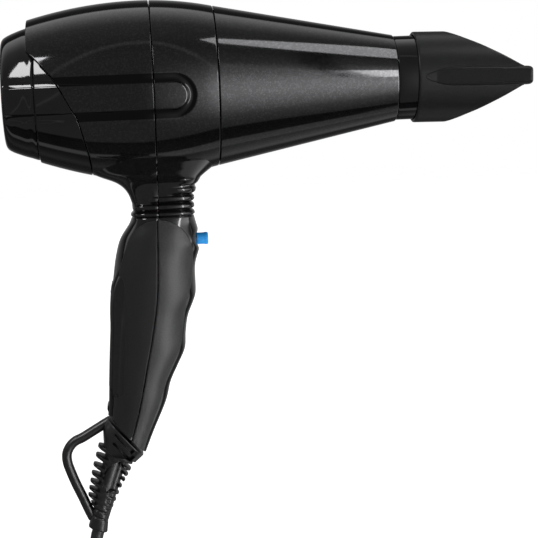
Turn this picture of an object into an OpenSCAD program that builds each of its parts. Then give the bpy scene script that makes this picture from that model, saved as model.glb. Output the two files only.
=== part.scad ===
// Hair dryer with a straight barrel along X, a grip hanging below it and a concentrator nozzle at +X.
// The origin is in the middle of the grip, and the whole dryer is symmetric about the XZ plane.

/* [Barrel] */
// Height of the barrel's axis above the middle of the grip
axis_h = 131; // [108:1:160]
// Radius of the barrel at its fattest place
barrel_r = 47.7; // [47:0.1:58]
// Where the barrel is fattest
crown_x = 4; // [0:0.5:8]
// Radius at the rear edge of the top shell
rear_r = 39.2; // [38.5:0.1:43]
// Rear edge of the top shell
rear_x = -57.5; // [-66:0.5:-56]
// Parting line between the rear and front housings
split_x = 8.5; // [6:0.5:12]
// Parting line between the front housing and the front cone
cone_x = 42.8; // [38:0.1:46]
// Radius of the cone at its wide end
cone_r = 43.3; // [40:0.1:46]
// Narrow end of the cone
cone_end_x = 140.7; // [120:0.1:168]
// Radius of the cone at its narrow end
cone_end_r = 23.6; // [23.2:0.1:26]
// Wall of the moulded housings
wall = 2.2; // [1.6:0.1:2.6]
// Width of the visible parting lines
seam = 0.5; // [0.3:0.1:0.8]

/* [Outlet and nozzle] */
// Radius of the outlet spigot
outlet_r = 22.9; // [20:0.1:23]
// Length of the outlet spigot in front of the cone
outlet_len = 19.3; // [17:0.1:24]
// Wall of the outlet spigot
outlet_wall = 2.3; // [1.8:0.1:2.8]
// Gap between the nozzle's rim and the cone
nozzle_gap = 10.8; // [8:0.1:12]
// Radial clearance of the nozzle on the spigot
nozzle_fit = 0.3; // [0.2:0.05:0.5]
// Length of the nozzle
nozzle_len = 60.5; // [52:0.5:70]
// Length of the nozzle's round collar
collar_len = 18; // [15:0.5:20]
// Wall of the nozzle
nozzle_wall = 1.6; // [1.2:0.1:2]
// Height of the nozzle's slot, outside
slot_h = 10.2; // [9:0.1:12.2]
// Width of the nozzle's slot at its mouth, outside
slot_w = 64; // [53:1:77]

/* [Rear cap] */
// Rear face of the cap
cap_x = -71.5; // [-80:0.5:-69]
// Front edge of the cap, at the gap to the collar
cap_front_x = -54; // [-55:0.5:-53]
// Radius of the cap's flat rear face
cap_face_r = 28.5; // [24:0.5:30]
// Radius of the cap at its front edge
cap_r = 36.3; // [36:0.1:37]
// Radius of the cap's spigot
spigot_r = 33.5; // [32.5:0.1:33.6]

/* [Grip] */
// Front to back size of the grip, at its fattest
grip_depth = 46; // [41:0.5:50]
// Side to side size of the grip
grip_width = 37; // [34:0.5:44]
// Depth of the soft panels' recess
panel_t = 1.6; // [1.2:0.1:1.8]
// Height of the cool shot button above the middle of the grip
button_z = 48; // [46:0.5:50]
// Radius of the cool shot button
button_r = 3.2; // [2.6:0.1:3.9]
// Travel of the cool shot button
button_travel = 3; // [2:0.5:3]
// Height of the speed rocker's middle
speed_z = 12.5; // [11:0.5:14]
// Height of the heat rocker's middle
heat_z = -22; // [-24:0.5:-20]
// Length of a rocker
rocker_l = 20; // [17:0.5:22]
// Width of a rocker
rocker_w = 11; // [9:0.5:12]

/* [Fan and motor] */
// Radius of the fan
fan_r = 36.6; // [31:0.1:36.8]
// Number of fan blades
fan_blades = 9; // [5:1:13]
// Radius of the motor's case
motor_r = 21.5; // [19:0.1:24]
// Radius of the motor's shaft
shaft_r = 2; // [1.5:0.1:2.5]
// Running clearance of the shaft in its bearings
shaft_fit = 0.05; // [0.02:0.01:0.1]

/* [Heater] */
// Rear end of the mica boards
heater_x = 42; // [40:0.5:46]
// Length of the mica boards
heater_len = 86; // [72:1:88]
// Number of turns in each heating coil
heater_turns = 8; // [5:1:9]

/* [Cord] */
// Diameter of the mains cord
cord_d = 7; // [6:0.1:7.6]
// Distance between the plug's pins
pin_gap = 19; // [18:0.1:20]
// Radius of a plug pin
pin_r = 2.4; // [2:0.1:2.5]

/* [Hidden] */
$fn = 96;
eps = 0.01;
gloss_black = [0.06, 0.06, 0.07];
graphite = [0.17, 0.17, 0.18];
soft_black = [0.22, 0.22, 0.23];
rubber_black = [0.09, 0.09, 0.1];
brass = [0.75, 0.6, 0.3];
copper = [0.72, 0.42, 0.22];
steel = [0.7, 0.7, 0.72];
mica = [0.78, 0.72, 0.6];
cream = [0.88, 0.86, 0.8];

// A smooth curve through hand-set points, steps pieces to each span
function knot(p, i) = p[min(max(i, 0), len(p) - 1)];
function blend_at(a, b, c, d, t) = 0.5 * (
    2 * b + (c - a) * t + (2 * a - 5 * b + 4 * c - d) * t * t + (3 * b - a - 3 * c + d) * t * t * t);
function curve(p, steps) = concat(
    [for (i = [0:len(p) - 2]) for (s = [0:steps - 1])
        blend_at(knot(p, i - 1), p[i], p[i + 1], knot(p, i + 2), s / steps)],
    [p[len(p) - 1]]);
function flip(p) = [for (i = [len(p) - 1:-1:0]) p[i]];

// Outer radius of the barrel at x
rear_drop = barrel_r - rear_r;
front_drop = barrel_r - cone_r;
function skin(x) =
    x < crown_x ? barrel_r - rear_drop * pow((crown_x - x) / (crown_x - rear_x), 2)
    : x < cone_x ? barrel_r - front_drop * pow((x - crown_x) / (cone_x - crown_x), 2)
    : cone_r + (cone_end_r - cone_r) * (x - cone_x) / (cone_end_x - cone_x);
function bore(x) = skin(x) - wall;
function steps_between(a, b, n) = [for (i = [0:n]) a + (b - a) * i / n];

// Puts a shape drawn along Z onto the barrel's axis
module along_axis(x = 0) {
    translate([x, 0, axis_h]) rotate([0, 90, 0]) children();
}

// A solid of revolution about the barrel's axis, from points [radius, x]
module turned(points) {
    along_axis() rotate_extrude() polygon(points);
}

// A round tube along the barrel's axis
module tube_x(x0, x1, r_out, r_in) {
    turned([[r_in, x0], [r_out, x0], [r_out, x1], [r_in, x1]]);
}

// A disc along the barrel's axis
module disc_x(x0, x1, r) {
    along_axis(x0) cylinder(r = r, h = x1 - x0);
}

// A slab whose outline is drawn in the XZ plane
module slab_xz(points, width) {
    rotate([90, 0, 0]) linear_extrude(width, center = true) polygon(points);
}

// A slab whose outline is drawn in the YZ plane
module slab_yz(points, x0, x1) {
    translate([x0, 0, 0]) rotate([90, 0, 90]) linear_extrude(x1 - x0) polygon(points);
}

// A box from its low and high corners
module box(low, high) {
    translate(low) cube(high - low);
}

// Rings of a swept tube: each ring is square to the route at its point, and no route runs along Y
function unit(v) = v / norm(v);
function heading(p, i) = unit(knot(p, i + 1) - knot(p, i - 1));
function ring_at(c, d, r, sides) = let(
    u = unit(cross(d, [0, 1, 0])),
    w = cross(d, u))
    [for (k = [0:sides - 1]) c + r * (cos(360 * k / sides) * u + sin(360 * k / sides) * w)];

// A round tube swept along a route of points
module swept(route, r, sides) {
    n = len(route);
    points = [for (i = [0:n - 1]) each ring_at(route[i], heading(route, i), r, sides)];
    around = [for (i = [0:n - 2]) for (k = [0:sides - 1]) let(
        a = i * sides + k,
        b = i * sides + (k + 1) % sides)
        [a, a + sides, b + sides, b]];
    start = [for (k = [0:sides - 1]) k];
    finish = [for (k = [sides - 1:-1:0]) (n - 1) * sides + k];
    polyhedron(points = points, faces = concat([start], around, [finish]));
}

// Turns points [x, z] into a route at one y
function route_at(points, y) = [for (p = points) [p[0], y, p[1]]];

// ---- Barrel housings ----

barrel_steps = 8;
big = 200;

// The shell between two stations, wall thick
module barrel_shell(x0, x1, n) {
    xs = steps_between(x0, x1, n);
    turned(concat([for (x = xs) [skin(x), x]], [for (x = flip(xs)) [bore(x), x]]));
}

// The sweeping seam between the top shell and the rear collar, as [x, height above the axis]
sweep = [
    [rear_x, 22.5], [-53.2, 18.2], [-48.7, 13.4], [-43.8, 7.5], [-40, 1], [-35.3, -8.3],
    [-32, -14.5], [-29.1, -25.3], [-26.4, -38], [-26, -52]
];
sweep_curve = [for (p = curve(sweep, 2)) [p[0], axis_h + p[1]]];

module behind_sweep(shift) {
    edge = [for (p = sweep_curve) p + [shift, 0]];
    slab_xz(concat(edge, [[-big, axis_h - 52], [-big, axis_h + 22.5]]), big);
}

// Radius of the collar, which is drawn in a little towards the cap
collar_taper = 0.1;
collar_front_x = -26;
function collar_skin(x) = skin(x) - collar_taper * (collar_front_x - x);

module rear_collar() {
    xs = steps_between(cap_front_x + seam, collar_front_x, 6);
    color(gloss_black) intersection() {
        turned(concat([for (x = xs) [collar_skin(x), x]], [for (x = flip(xs)) [collar_skin(x) - wall, x]]));
        behind_sweep(-seam / 2);
    }
}

// ---- Grip outline ----

saddle_z = axis_h - barrel_r;
depth_scale = grip_depth / 46;
front_edge = [
    [46.5, saddle_z + 9], [36, saddle_z + 1.7], [31, saddle_z - 2.6], [28.6, saddle_z - 7],
    [27.4, saddle_z - 12], [27.4, 64], [29.4, 55], [31.8, 47], [29.4, 41], [27.2, 33], [27, 20],
    [25.6, 14.5], [22, 6], [20.4, -3], [19.5, -12], [15.2, -21], [10.8, -30], [7.6, -41],
    [0.2, -57], [-4.8, -68.6], [-10, -80]
];
back_edge = [
    [-30, saddle_z + 9], [-26, saddle_z + 2.8], [-14, saddle_z - 2.4], [-8.6, saddle_z - 7],
    [-6, saddle_z - 13], [-5.3, 65], [-7.4, 58.5], [-13, 50], [-15.8, 41], [-17.6, 31],
    [-19.6, 17], [-20.5, 1], [-22, -18], [-23.2, -38], [-24.2, -47.2], [-25.6, -62]
];
grip_axis_tilt = 9.3;
half_widths = [
    [32, saddle_z + 12], [25, saddle_z + 4], [18.5, saddle_z - 3], [15.5, saddle_z - 10], [15, 66],
    [16.5, 58], [18.2, 48], [18.5, 20], [17.5, 0], [16.3, -30], [14.8, -50], [13.4, -76]
];
girth = [
    [62, saddle_z + 16], [46, saddle_z + 7], [30, saddle_z], [21.5, saddle_z - 6],
    [18.2, saddle_z - 13], [18, 62], [21.6, 54], [24.6, 46], [24.4, 20], [23, 10],
    [21.6, 0], [20.2, -20], [18, -40], [15.2, -76]
];
width_scale = grip_width / 37;

// The grip's solid, drawn in by inset all round
module grip_solid(inset) {
    front = [for (p = curve(front_edge, 2)) [p[0] * depth_scale - inset, p[1]]];
    back = [for (p = curve(back_edge, 2)) [p[0] * depth_scale + inset, p[1]]];
    sides = [for (p = half_widths) [p[0] * width_scale - inset, p[1]]];
    round_size = max(depth_scale, width_scale);
    round = [for (p = girth) [p[0] * round_size - inset, p[1]]];
    intersection() {
        slab_xz(concat(front, flip(back)), big);
        slab_yz(concat(sides, [for (p = flip(sides)) [-p[0], p[1]]]), -big / 2, big / 2);
        rotate([0, grip_axis_tilt, 0]) rotate_extrude()
            polygon(concat(round, [[0, girth[len(girth) - 1][1]], [0, girth[0][1]]]));
    }
}

// The parting line of the two halves of the housing, from the barrel down the grip
parting = [
    [split_x, 300], [split_x, 64], [7.6, 58], [5.9, 22.5], [2.7, 1], [-2.1, -21], [-7, -42.7],
    [-14, -66], [-20, -90]
];

module behind_parting(shift) {
    slab_xz(concat([for (p = parting) p + [shift, 0]], [[-big, -90], [-big, 300]]), big);
}

// The outline of the soft panels on both sides of the grip
panel_front = [
    [7.2, 60.1], [17, 57.8], [24.2, 50], [26, 38], [24.6, 26], [21.6, 15], [18.6, 0], [16.6, -11],
    [9.4, -26], [4.2, -40], [-3.2, -59], [-7, -72]
];
panel_back = [
    [7.2, 60.1], [0, 58.6], [-6.6, 53], [-12, 41], [-16, 25], [-18.4, 2], [-19.8, -20],
    [-20.9, -36], [-21.6, -44], [-22.6, -56]
];

module panel_outline(grow) {
    front = [for (p = curve(panel_front, 2)) p + [grow, grow]];
    back = [for (p = curve(panel_back, 2)) p + [-grow, grow]];
    slab_xz(concat(front, flip(back)), big);
}

// The space that the panels fill, and the panels themselves where side is -1 or 1
panel_fit = 0.15;

module panel_skin(proud, deep, grow) {
    intersection() {
        difference() {
            grip_solid(-proud);
            grip_solid(deep);
            below_foot(0);
        }
        panel_outline(grow);
        outside_middle(8);
    }
}

module outside_middle(half) {
    for (side = [-1, 1])
        translate([-big / 2, side > 0 ? half : -big, -big / 2]) cube([big, big - half, big]);
}

module one_side(side) {
    translate([-big / 2, side > 0 ? 0 : -big, -big / 2]) cube([big, big, big]);
}

module soft_panel(side, rear) {
    color(soft_black) intersection() {
        panel_skin(0.4, panel_t, 0);
        one_side(side);
        if (rear) behind_parting(-0.1);
        else difference() {
            cube(2 * big, center = true);
            behind_parting(0.1);
        }
    }
}

module grip_rear_left() { soft_panel(-1, true); }
module grip_rear_right() { soft_panel(1, true); }
module grip_front_left() { soft_panel(-1, false); }
module grip_front_right() { soft_panel(1, false); }

// ---- The two halves of the housing ----

base_line = [[-24.2, -47.2], [-4.8, -68.6]];
rib_heights = [74.4, 70.2, 66.4, 62.8];
rib_t = 1.8;

// Everything below the slanted foot of the grip
module below_foot(shift) {
    a = base_line[0];
    b = base_line[1];
    out = b - a;
    n = [-out[1], out[0]] / norm(out) * shift;
    slab_xz([a - out + n, b + out + n, b + out + n + [0, -big], a - out + n + [0, -big]], big);
}

// The inside of the grip, of the neck and of the barrel
module grip_cavity() {
    intersection() {
        grip_solid(wall + 1);
        box([-big, -big, -big], [big, big, axis_h - 20]);
    }
}

module barrel_cavity(n) {
    xs = steps_between(rear_x, cone_x, n);
    turned(concat([[0, rear_x - 1]], [[bore(rear_x), rear_x - 1]], [for (x = xs) [bore(x), x]],
        [[bore(cone_x), cone_x + 1], [0, cone_x + 1]]));
}

module grip_shell() {
    difference() {
        grip_solid(0);
        grip_cavity();
        barrel_cavity(barrel_steps);
        below_foot(0);
        panel_skin(3, panel_t + panel_fit, panel_fit);
    }
}

module neck_ribs() {
    difference() {
        intersection() {
            grip_solid(-0.8);
            union() for (z = rib_heights) box([-big, -big, z - rib_t / 2], [big, big, z + rib_t / 2]);
            box([10, -big, 0], [big, big, big]);
        }
        grip_solid(0.5);
    }
}

module barrel_to_collar() {
    difference() {
        barrel_shell(rear_x, split_x - seam / 2, barrel_steps);
        behind_sweep(seam / 2);
    }
}

// Screws join the halves along X: [x of the head, height, end of the boss]
screw_r = 1.5;
screw_len = 20;
screw_head_r = 2.8;
screw_head_t = 2.2;
screw_fit = 0.3;
boss_r = 3.6;
screw_spots = [[-4.6, 68, 25.5], [-22.4, -37.5, 6.5]];
plug_r = 5.2;

module at_screw(spot) {
    translate([spot[0] * depth_scale, 0, spot[1]]) rotate([0, 90, 0]) children();
}

module screw_bosses() {
    for (p = screw_spots) at_screw(p) translate([0, 0, 1])
        cylinder(r = boss_r, h = (p[2] - p[0]) * depth_scale - 1);
}

module screw_holes(shank) {
    for (p = screw_spots) at_screw(p) {
        translate([0, 0, -6]) cylinder(r = screw_head_r + screw_fit, h = 6 + screw_head_t);
        cylinder(r = shank, h = screw_len + 1);
    }
}

// The way of the lead and its strain relief through the foot of the grip
module foot_hole() {
    on_relief(-14) cylinder(r = plug_r + 0.1, h = 24);
}

// The way of the leads from the neck into the barrel
module loom_hole() {
    box([10, -7, saddle_z - 8], [20.5, 7, saddle_z + 12]);
}

module rear_housing() {
    color(graphite) difference() {
        union() {
            barrel_to_collar();
            intersection() {
                union() {
                    grip_shell();
                    screw_bosses();
                }
                behind_parting(-seam / 4);
            }
        }
        frame_pocket();
        rocker_wells(rocker_gap + 0.2);
        foot_hole();
        screw_holes(screw_r + 0.2);
    }
}

module front_housing() {
    color(graphite) difference() {
        union() {
            barrel_shell(split_x + seam / 2, cone_x - seam / 2, 5);
            difference() {
                union() {
                    grip_shell();
                    neck_ribs();
                    screw_bosses();
                }
                behind_parting(seam / 4);
                box([cone_x - seam / 2, -big, -big], [big, big, big]);
            }
            button_boss();
        }
        translate([button_x - 12, 0, button_z]) rotate([0, 90, 0])
            cylinder(r = button_r + button_fit, h = 20);
        foot_hole();
        loom_hole();
        screw_holes(screw_r);
    }
}

module front_cone() {
    lip = 3;
    color(graphite) union() {
        turned([
            [cone_r, cone_x + seam / 2], [cone_end_r, cone_end_x], [cone_end_r - wall, cone_end_x],
            [cone_r - wall, cone_x + seam / 2]
        ]);
        tube_x(cone_x - lip, cone_x + 1, bore(cone_x) - 0.3, bore(cone_x) - 1.8);
        tube_x(cone_x + 0.3, cone_x + 2, bore(cone_x) + 0.5, bore(cone_x) - 1.8);
    }
}

// ---- Outlet and nozzle ----

outlet_end_x = cone_end_x + outlet_len;
rim_x = cone_end_x + nozzle_gap;
ring_x = rim_x + 3.5;
ring_w = 1.6;
ring_t = 0.8;
ring_fit = 0.05;
groove_r = outlet_r - ring_t - 0.1 - ring_fit;
outlet_bore = outlet_r - outlet_wall;
root_len = 8;

module outlet_band() {
    tail_r = cone_end_r - wall - 0.1;
    color(gloss_black) turned([
        [outlet_bore, cone_end_x + 0.2], [outlet_bore, outlet_end_x], [outlet_r - 0.6, outlet_end_x],
        [outlet_r, outlet_end_x - 0.6], [outlet_r, ring_x + ring_w + 0.3],
        [groove_r, ring_x + ring_w + 0.3], [groove_r, ring_x - 0.3], [outlet_r, ring_x - 0.3],
        [outlet_r, cone_end_x + 0.2], [tail_r, cone_end_x + 0.2], [tail_r, cone_end_x - root_len],
        [tail_r - 1.2, cone_end_x - root_len], [tail_r - 1.2, cone_end_x + 0.2]
    ]);
}

module outlet_grille() {
    x0 = cone_end_x + 4;
    r = outlet_bore - 0.1;
    color(steel) union() {
        tube_x(x0, x0 + 4, r, r - 1.4);
        for (k = [1:3]) tube_x(x0, x0 + 2.4, r * k / 4 + 0.5, r * k / 4 - 0.5);
        for (a = [0:60:300]) along_axis(x0 + 0.2) rotate([0, 0, a]) translate([r / 4, -0.5, 0])
            cube([r * 3 / 4 - 0.6, 1, 2]);
    }
}

module nozzle_ring() {
    inner = groove_r + ring_fit;
    color(steel) difference() {
        tube_x(ring_x, ring_x + ring_w, inner + ring_t, inner);
        box([ring_x - 1, -1.5, axis_h], [ring_x + ring_w + 1, 1.5, axis_h + outlet_r + 5]);
    }
}

// The nozzle: a round collar, two curved wedge faces and a flat slot that widens to its mouth
collar_r = outlet_r + nozzle_fit + nozzle_wall;
nozzle_end_x = rim_x + nozzle_len;
wedge_x = rim_x + collar_len;
slot_x = nozzle_end_x - 3.5;
fan_x = rim_x + 3.8;
wedge_bulge = 2.2;

function wedge_h(t, inset) =
    collar_r - 0.5 - inset + (slot_h / 2 - collar_r + 0.5) * t + wedge_bulge * 4 * t * (1 - t) / 1.6;

module nozzle_wedge(inset) {
    ts = steps_between(0, 1, 8);
    top = [for (t = ts) [wedge_x + (slot_x - wedge_x) * t, axis_h + max(wedge_h(t, inset), 0.1)]];
    bottom = [for (p = flip(top)) [p[0], 2 * axis_h - p[1]]];
    intersection() {
        slab_xz(concat([[wedge_x - 0.5, top[0][1]]], top, bottom, [[wedge_x - 0.5, bottom[8][1]]]), big);
        disc_x(wedge_x - 1, slot_x + 1, collar_r - 0.3 - inset);
    }
}

module nozzle_fan(inset) {
    h = slot_h - 2 * inset;
    root = collar_r + 0.15 - inset;
    mouth = slot_w / 2 - inset;
    translate([0, 0, axis_h - h / 2]) linear_extrude(h) polygon([
        [fan_x, -root], [fan_x, root], [nozzle_end_x - 8, mouth - 1], [nozzle_end_x + inset, mouth],
        [nozzle_end_x + inset, -mouth], [nozzle_end_x - 8, 1 - mouth]
    ]);
}

module nozzle() {
    seat = outlet_r + nozzle_fit;
    color(graphite) difference() {
        union() {
            turned([[0, rim_x], [collar_r - 0.4, rim_x], [collar_r, rim_x + 0.6],
                [collar_r, rim_x + 3], [collar_r - 0.4, wedge_x], [0, wedge_x]]);
            nozzle_wedge(0);
            nozzle_fan(0);
        }
        disc_x(rim_x - 1, outlet_end_x + 1, seat);
        disc_x(outlet_end_x, wedge_x + eps, seat - 1.2);
        intersection() {
            nozzle_wedge(nozzle_wall);
            disc_x(wedge_x - 2, slot_x + 2, seat - 1.2);
        }
        difference() {
            nozzle_fan(nozzle_wall);
            box([0, -big, 0], [outlet_end_x + 2, big, big]);
        }
    }
}

// ---- Rear cap, mesh, filter and intake guard ----

guard_x = cap_front_x + 10;
guard_r = spigot_r + 0.4;

module rear_cap() {
    skirt = [
        [cap_face_r, cap_x], [cap_face_r + 1.5, cap_x + 1.5], [cap_face_r + 2.7, cap_x + 3.5],
        [cap_face_r + 4.1, cap_x + 6.5], [cap_face_r + 5.3, cap_x + 10], [cap_r - 1, cap_front_x - 3],
        [cap_r, cap_front_x]
    ];
    color(gloss_black) union() {
        turned(concat(skirt, [[spigot_r - 1.6, cap_front_x], [spigot_r - 1.6, cap_front_x - 3],
            [cap_face_r + 2.6, cap_x + 9], [cap_face_r + 0.6, cap_x + 5], [cap_face_r - 0.8, cap_x + 2.6],
            [cap_face_r - 3.4, cap_x + 2.6], [cap_face_r - 3.4, cap_x]]));
        tube_x(cap_front_x - 1, cap_front_x + 7, spigot_r, spigot_r - 1.6);
    }
}

module rear_mesh() {
    r = cap_face_r - 0.9;
    x0 = cap_x + 2.7;
    color(graphite) union() {
        tube_x(x0, x0 + 1.6, r, r - 3);
        for (k = [1:5]) tube_x(x0, x0 + 1.2, r * k / 6 + 0.6, r * k / 6 - 0.6);
        for (a = [0:30:330]) along_axis(x0) rotate([0, 0, a]) translate([r / 6, -0.5, 0])
            cube([r * 5 / 6 - 2, 1, 1.2]);
    }
}

module dust_filter() {
    color(steel) disc_x(cap_x + 4.5, cap_x + 5, cap_face_r - 1);
}

module intake_guard() {
    color(gloss_black) union() {
        tube_x(cap_front_x + 1.5, guard_x + 2, guard_r + 1.6, guard_r);
        tube_x(guard_x, guard_x + 2, collar_skin(guard_x) - wall - 0.2, guard_r);
        tube_x(guard_x, guard_x + 2, guard_r + 1, guard_r - 1.5);
        for (k = [1:4]) tube_x(guard_x, guard_x + 1.6, guard_r * k / 5 + 0.6, guard_r * k / 5 - 0.6);
        for (a = [0:45:315]) along_axis(guard_x) rotate([0, 0, a]) translate([guard_r / 5, -0.6, 0])
            cube([guard_r * 4 / 5 - 1, 1.2, 1.6]);
    }
}

// ---- Fan and motor ----

shroud_x = -39;
shroud_end_x = 7;
fan_x0 = -35;
fan_x1 = -21;
case_x0 = -16;
case_x1 = 28;
shroud_bore = fan_r + 1;
bearing_r = 5;

module fan_shroud() {
    hub = motor_r + 0.2;
    color(gloss_black) union() {
        tube_x(shroud_x, shroud_end_x, shroud_bore + 1.2, shroud_bore);
        tube_x(shroud_x, shroud_x + 2, collar_skin(shroud_x) - wall - 0.3, shroud_bore);
        tube_x(split_x - 5.5, split_x - 3.5, bore(split_x) - 0.3, shroud_bore);
        tube_x(-12, shroud_end_x, hub + 1.4, hub);
        for (a = [0:360 / 7:359]) along_axis(-10) rotate([0, 0, a]) translate([hub + 0.7, -0.7, 0])
            cube([shroud_bore - hub, 1.4, 14]);
    }
}

module fan_impeller() {
    hub = 12;
    pitch = 38;
    color(cream) difference() {
        union() {
            disc_x(fan_x0, fan_x1, hub);
            intersection() {
                tube_x(fan_x0, fan_x1, fan_r, hub - 1);
                union() for (a = [0:360 / fan_blades:359]) along_axis((fan_x0 + fan_x1) / 2)
                    rotate([0, 0, a]) translate([fan_r / 2, 0, 0]) rotate([pitch, 0, 0])
                        cube([fan_r + 4, 1.2, 40], center = true);
            }
        }
        disc_x(fan_x0 - 1, fan_x1 + 1, shaft_r);
        tube_x(fan_x1 - 8, fan_x1 + 1, hub - 1.6, 4);
    }
}

module motor_shaft() {
    color(steel) disc_x(fan_x0 - 2, case_x1 + 3, shaft_r);
}

module motor_case() {
    color(steel) difference() {
        tube_x(case_x0, case_x1, motor_r, motor_r - 0.8);
        for (a = [45:90:315]) along_axis(case_x1 - 9) rotate([0, 0, a]) translate([motor_r - 3, -4, 0])
            cube([6, 8, 5]);
    }
}

module motor_bracket(x0, away) {
    seat = bearing_r + 0.02;
    color(steel) union() {
        tube_x(x0, x0 + 2, motor_r - 0.9, motor_r - 3.5);
        tube_x(away > 0 ? x0 : x0 - 3, away > 0 ? x0 + 5 : x0 + 2, seat + 1.6, seat);
        for (a = [0:90:270]) along_axis(x0) rotate([0, 0, a]) translate([seat + 1, -2.5, 0])
            cube([motor_r - 3 - seat - 1, 5, 2]);
    }
}

module motor_bracket_rear() { motor_bracket(case_x0 + 0.3, 1); }
module motor_bracket_front() { motor_bracket(case_x1 - 2.3, -1); }

module bearing(x0) {
    color(brass) tube_x(x0, x0 + 5, bearing_r, shaft_r + shaft_fit);
}

module bearing_rear() { bearing(case_x0 + 0.3); }
module bearing_front() { bearing(case_x1 - 5.3); }

stator_half = 6.5;
slot_ring_r = motor_r - 5.1;
armature_r = motor_r - 10;
slot_r = 1.9;
slot_angles = [50, 130, 230, 310];

module stator_core() {
    color([0.45, 0.46, 0.48]) difference() {
        tube_x(-stator_half, stator_half, motor_r - 0.9, armature_r + 0.5);
        for (a = slot_angles) along_axis(-20) rotate([0, 0, a]) translate([slot_ring_r, 0, 0])
            cylinder(r = slot_r + 0.1, h = 40);
    }
}

module field_coils() {
    end_t = 3;
    reach = stator_half + 0.2 + end_t;
    color(copper) for (start = [50, 230]) {
        for (a = [start, start + 80]) along_axis(1 - reach) rotate([0, 0, a]) translate([slot_ring_r, 0, 0])
            cylinder(r = slot_r, h = 2 * reach - 2);
        for (x = [-reach, reach - end_t]) along_axis(x) rotate([0, 0, start - 9]) rotate_extrude(angle = 98)
            translate([slot_ring_r - end_t / 2, 0]) square(end_t);
    }
}

module armature_core() {
    color([0.4, 0.41, 0.43]) tube_x(-stator_half, stator_half, armature_r, shaft_r);
}

module armature_windings() {
    color(copper) {
        tube_x(-stator_half - 3.5, -stator_half, armature_r - 2, shaft_r);
        tube_x(stator_half, stator_half + 3, armature_r - 2, shaft_r);
    }
}

comm_x0 = stator_half + 3.2;
comm_x1 = comm_x0 + 8;

module commutator() {
    color(copper) tube_x(comm_x0, comm_x1, 5.2, shaft_r);
}

brush_x = (comm_x0 + comm_x1) / 2;

module carbon_brushes() {
    color([0.2, 0.2, 0.2]) for (side = [-1, 1]) translate([brush_x, side * 9.7, axis_h])
        cube([4, 8, 4], center = true);
}

module brush_holders() {
    inner = 6;
    outer = motor_r - 1.5;
    middle = (inner + outer) / 2;
    color(brass) for (side = [-1, 1]) difference() {
        translate([brush_x, side * middle, axis_h]) cube([6.4, outer - inner, 6.4], center = true);
        translate([brush_x, side * middle, axis_h]) cube([4.2, outer - inner + 1, 4.2], center = true);
    }
}

// ---- Heater ----

mica_gap = 1.2;
mica_t = 0.8;
board_t = 1;
tube_end_x = cone_end_x - root_len - 1;
function mica_r(x) = bore(max(x, cone_x)) - mica_gap - (x < cone_x + 3 ? 1.6 : 0);
heater_end_x = min(heater_x + heater_len, tube_end_x - 1);
heater_mid_x = (heater_x + heater_end_x) / 2;

module mica_tube() {
    x0 = cone_x + 4;
    color(mica) turned([
        [mica_r(x0), x0], [mica_r(tube_end_x), tube_end_x], [mica_r(tube_end_x) - mica_t, tube_end_x],
        [mica_r(x0) - mica_t, x0]
    ]);
}

function board_h(x) = mica_r(max(x, cone_x + 4)) - mica_t - 0.4;
board_outline = [
    [heater_x, -24], [heater_x + 6, -board_h(heater_x + 6)], [heater_end_x, -board_h(heater_end_x)],
    [heater_end_x, board_h(heater_end_x)], [heater_x + 6, board_h(heater_x + 6)], [heater_x, 24]
];

module board() {
    linear_extrude(board_t, center = true) polygon(board_outline);
}

module board_slot(x0, x1) {
    box([x0, -board_t / 2 - 0.1, axis_h - big], [x1, board_t / 2 + 0.1, axis_h + big]);
}

module mica_board_upright() {
    color(mica) difference() {
        translate([0, 0, axis_h]) rotate([90, 0, 0]) board();
        box([heater_mid_x, -big, axis_h - board_t / 2 - 0.1], [big, big, axis_h + board_t / 2 + 0.1]);
    }
}

module mica_board_level() {
    color(mica) difference() {
        translate([0, 0, axis_h]) board();
        board_slot(0, heater_mid_x + 0.2);
    }
}

coil_wire_r = 0.7;

module heating_coil(inwards, first) {
    pitch = (heater_end_x - heater_x - 20) / heater_turns;
    for (i = [0:heater_turns - 1]) {
        x = heater_x + first + pitch * i;
        along_axis(x) rotate_extrude() translate([board_h(x) - inwards, 0]) circle(r = coil_wire_r, $fn = 16);
    }
}

module heating_coil_main() { color(steel) heating_coil(3, 10); }
module heating_coil_boost() { color(steel) heating_coil(10, 14); }

module thermal_cutout() {
    color(cream) translate([heater_end_x - 9, 1, axis_h + 6]) {
        translate([-4, 0, -3]) cube([8, 3, 6]);
        translate([0, 3, 0]) rotate([-90, 0, 0]) cylinder(r = 3, h = 1.2);
    }
}

module thermal_fuse() {
    color(steel) translate([heater_end_x - 14, -3, axis_h - 6]) rotate([0, 90, 0]) cylinder(r = 1.8, h = 10);
}

// ---- Controls ----

button_x = 31.8 * depth_scale;
button_fit = 0.3;
button_tip_x = button_x + 3.4;
flange_x = button_x - 8;

module button_boss() {
    translate([button_x - 4, 0, button_z]) rotate([0, 90, 0]) difference() {
        cylinder(r = button_r + 2, h = 3);
        translate([0, 0, -1]) cylinder(r = button_r + button_fit, h = 6);
    }
}

module cool_shot_button() {
    color([0.12, 0.56, 0.88]) translate([0, 0, button_z]) rotate([0, 90, 0]) {
        translate([0, 0, flange_x]) cylinder(r = button_r, h = button_tip_x - 2 - flange_x);
        translate([0, 0, button_tip_x - 2 - eps]) cylinder(r = button_r + 0.2, h = 2);
        translate([0, 0, flange_x - 1.2]) cylinder(r = button_r + 1.2, h = 1.3);
        translate([0, 0, flange_x - 6]) cylinder(r = 1.2, h = 6);
    }
}

module cool_shot_spring() {
    turns = 4;
    span = 3.6;
    color(steel) for (i = [0:turns - 1])
        translate([flange_x - 1.7 - span * i / (turns - 1), 0, button_z]) rotate([0, 90, 0])
            rotate_extrude() translate([2.4, 0]) circle(r = 0.35, $fn = 16);
}

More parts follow.
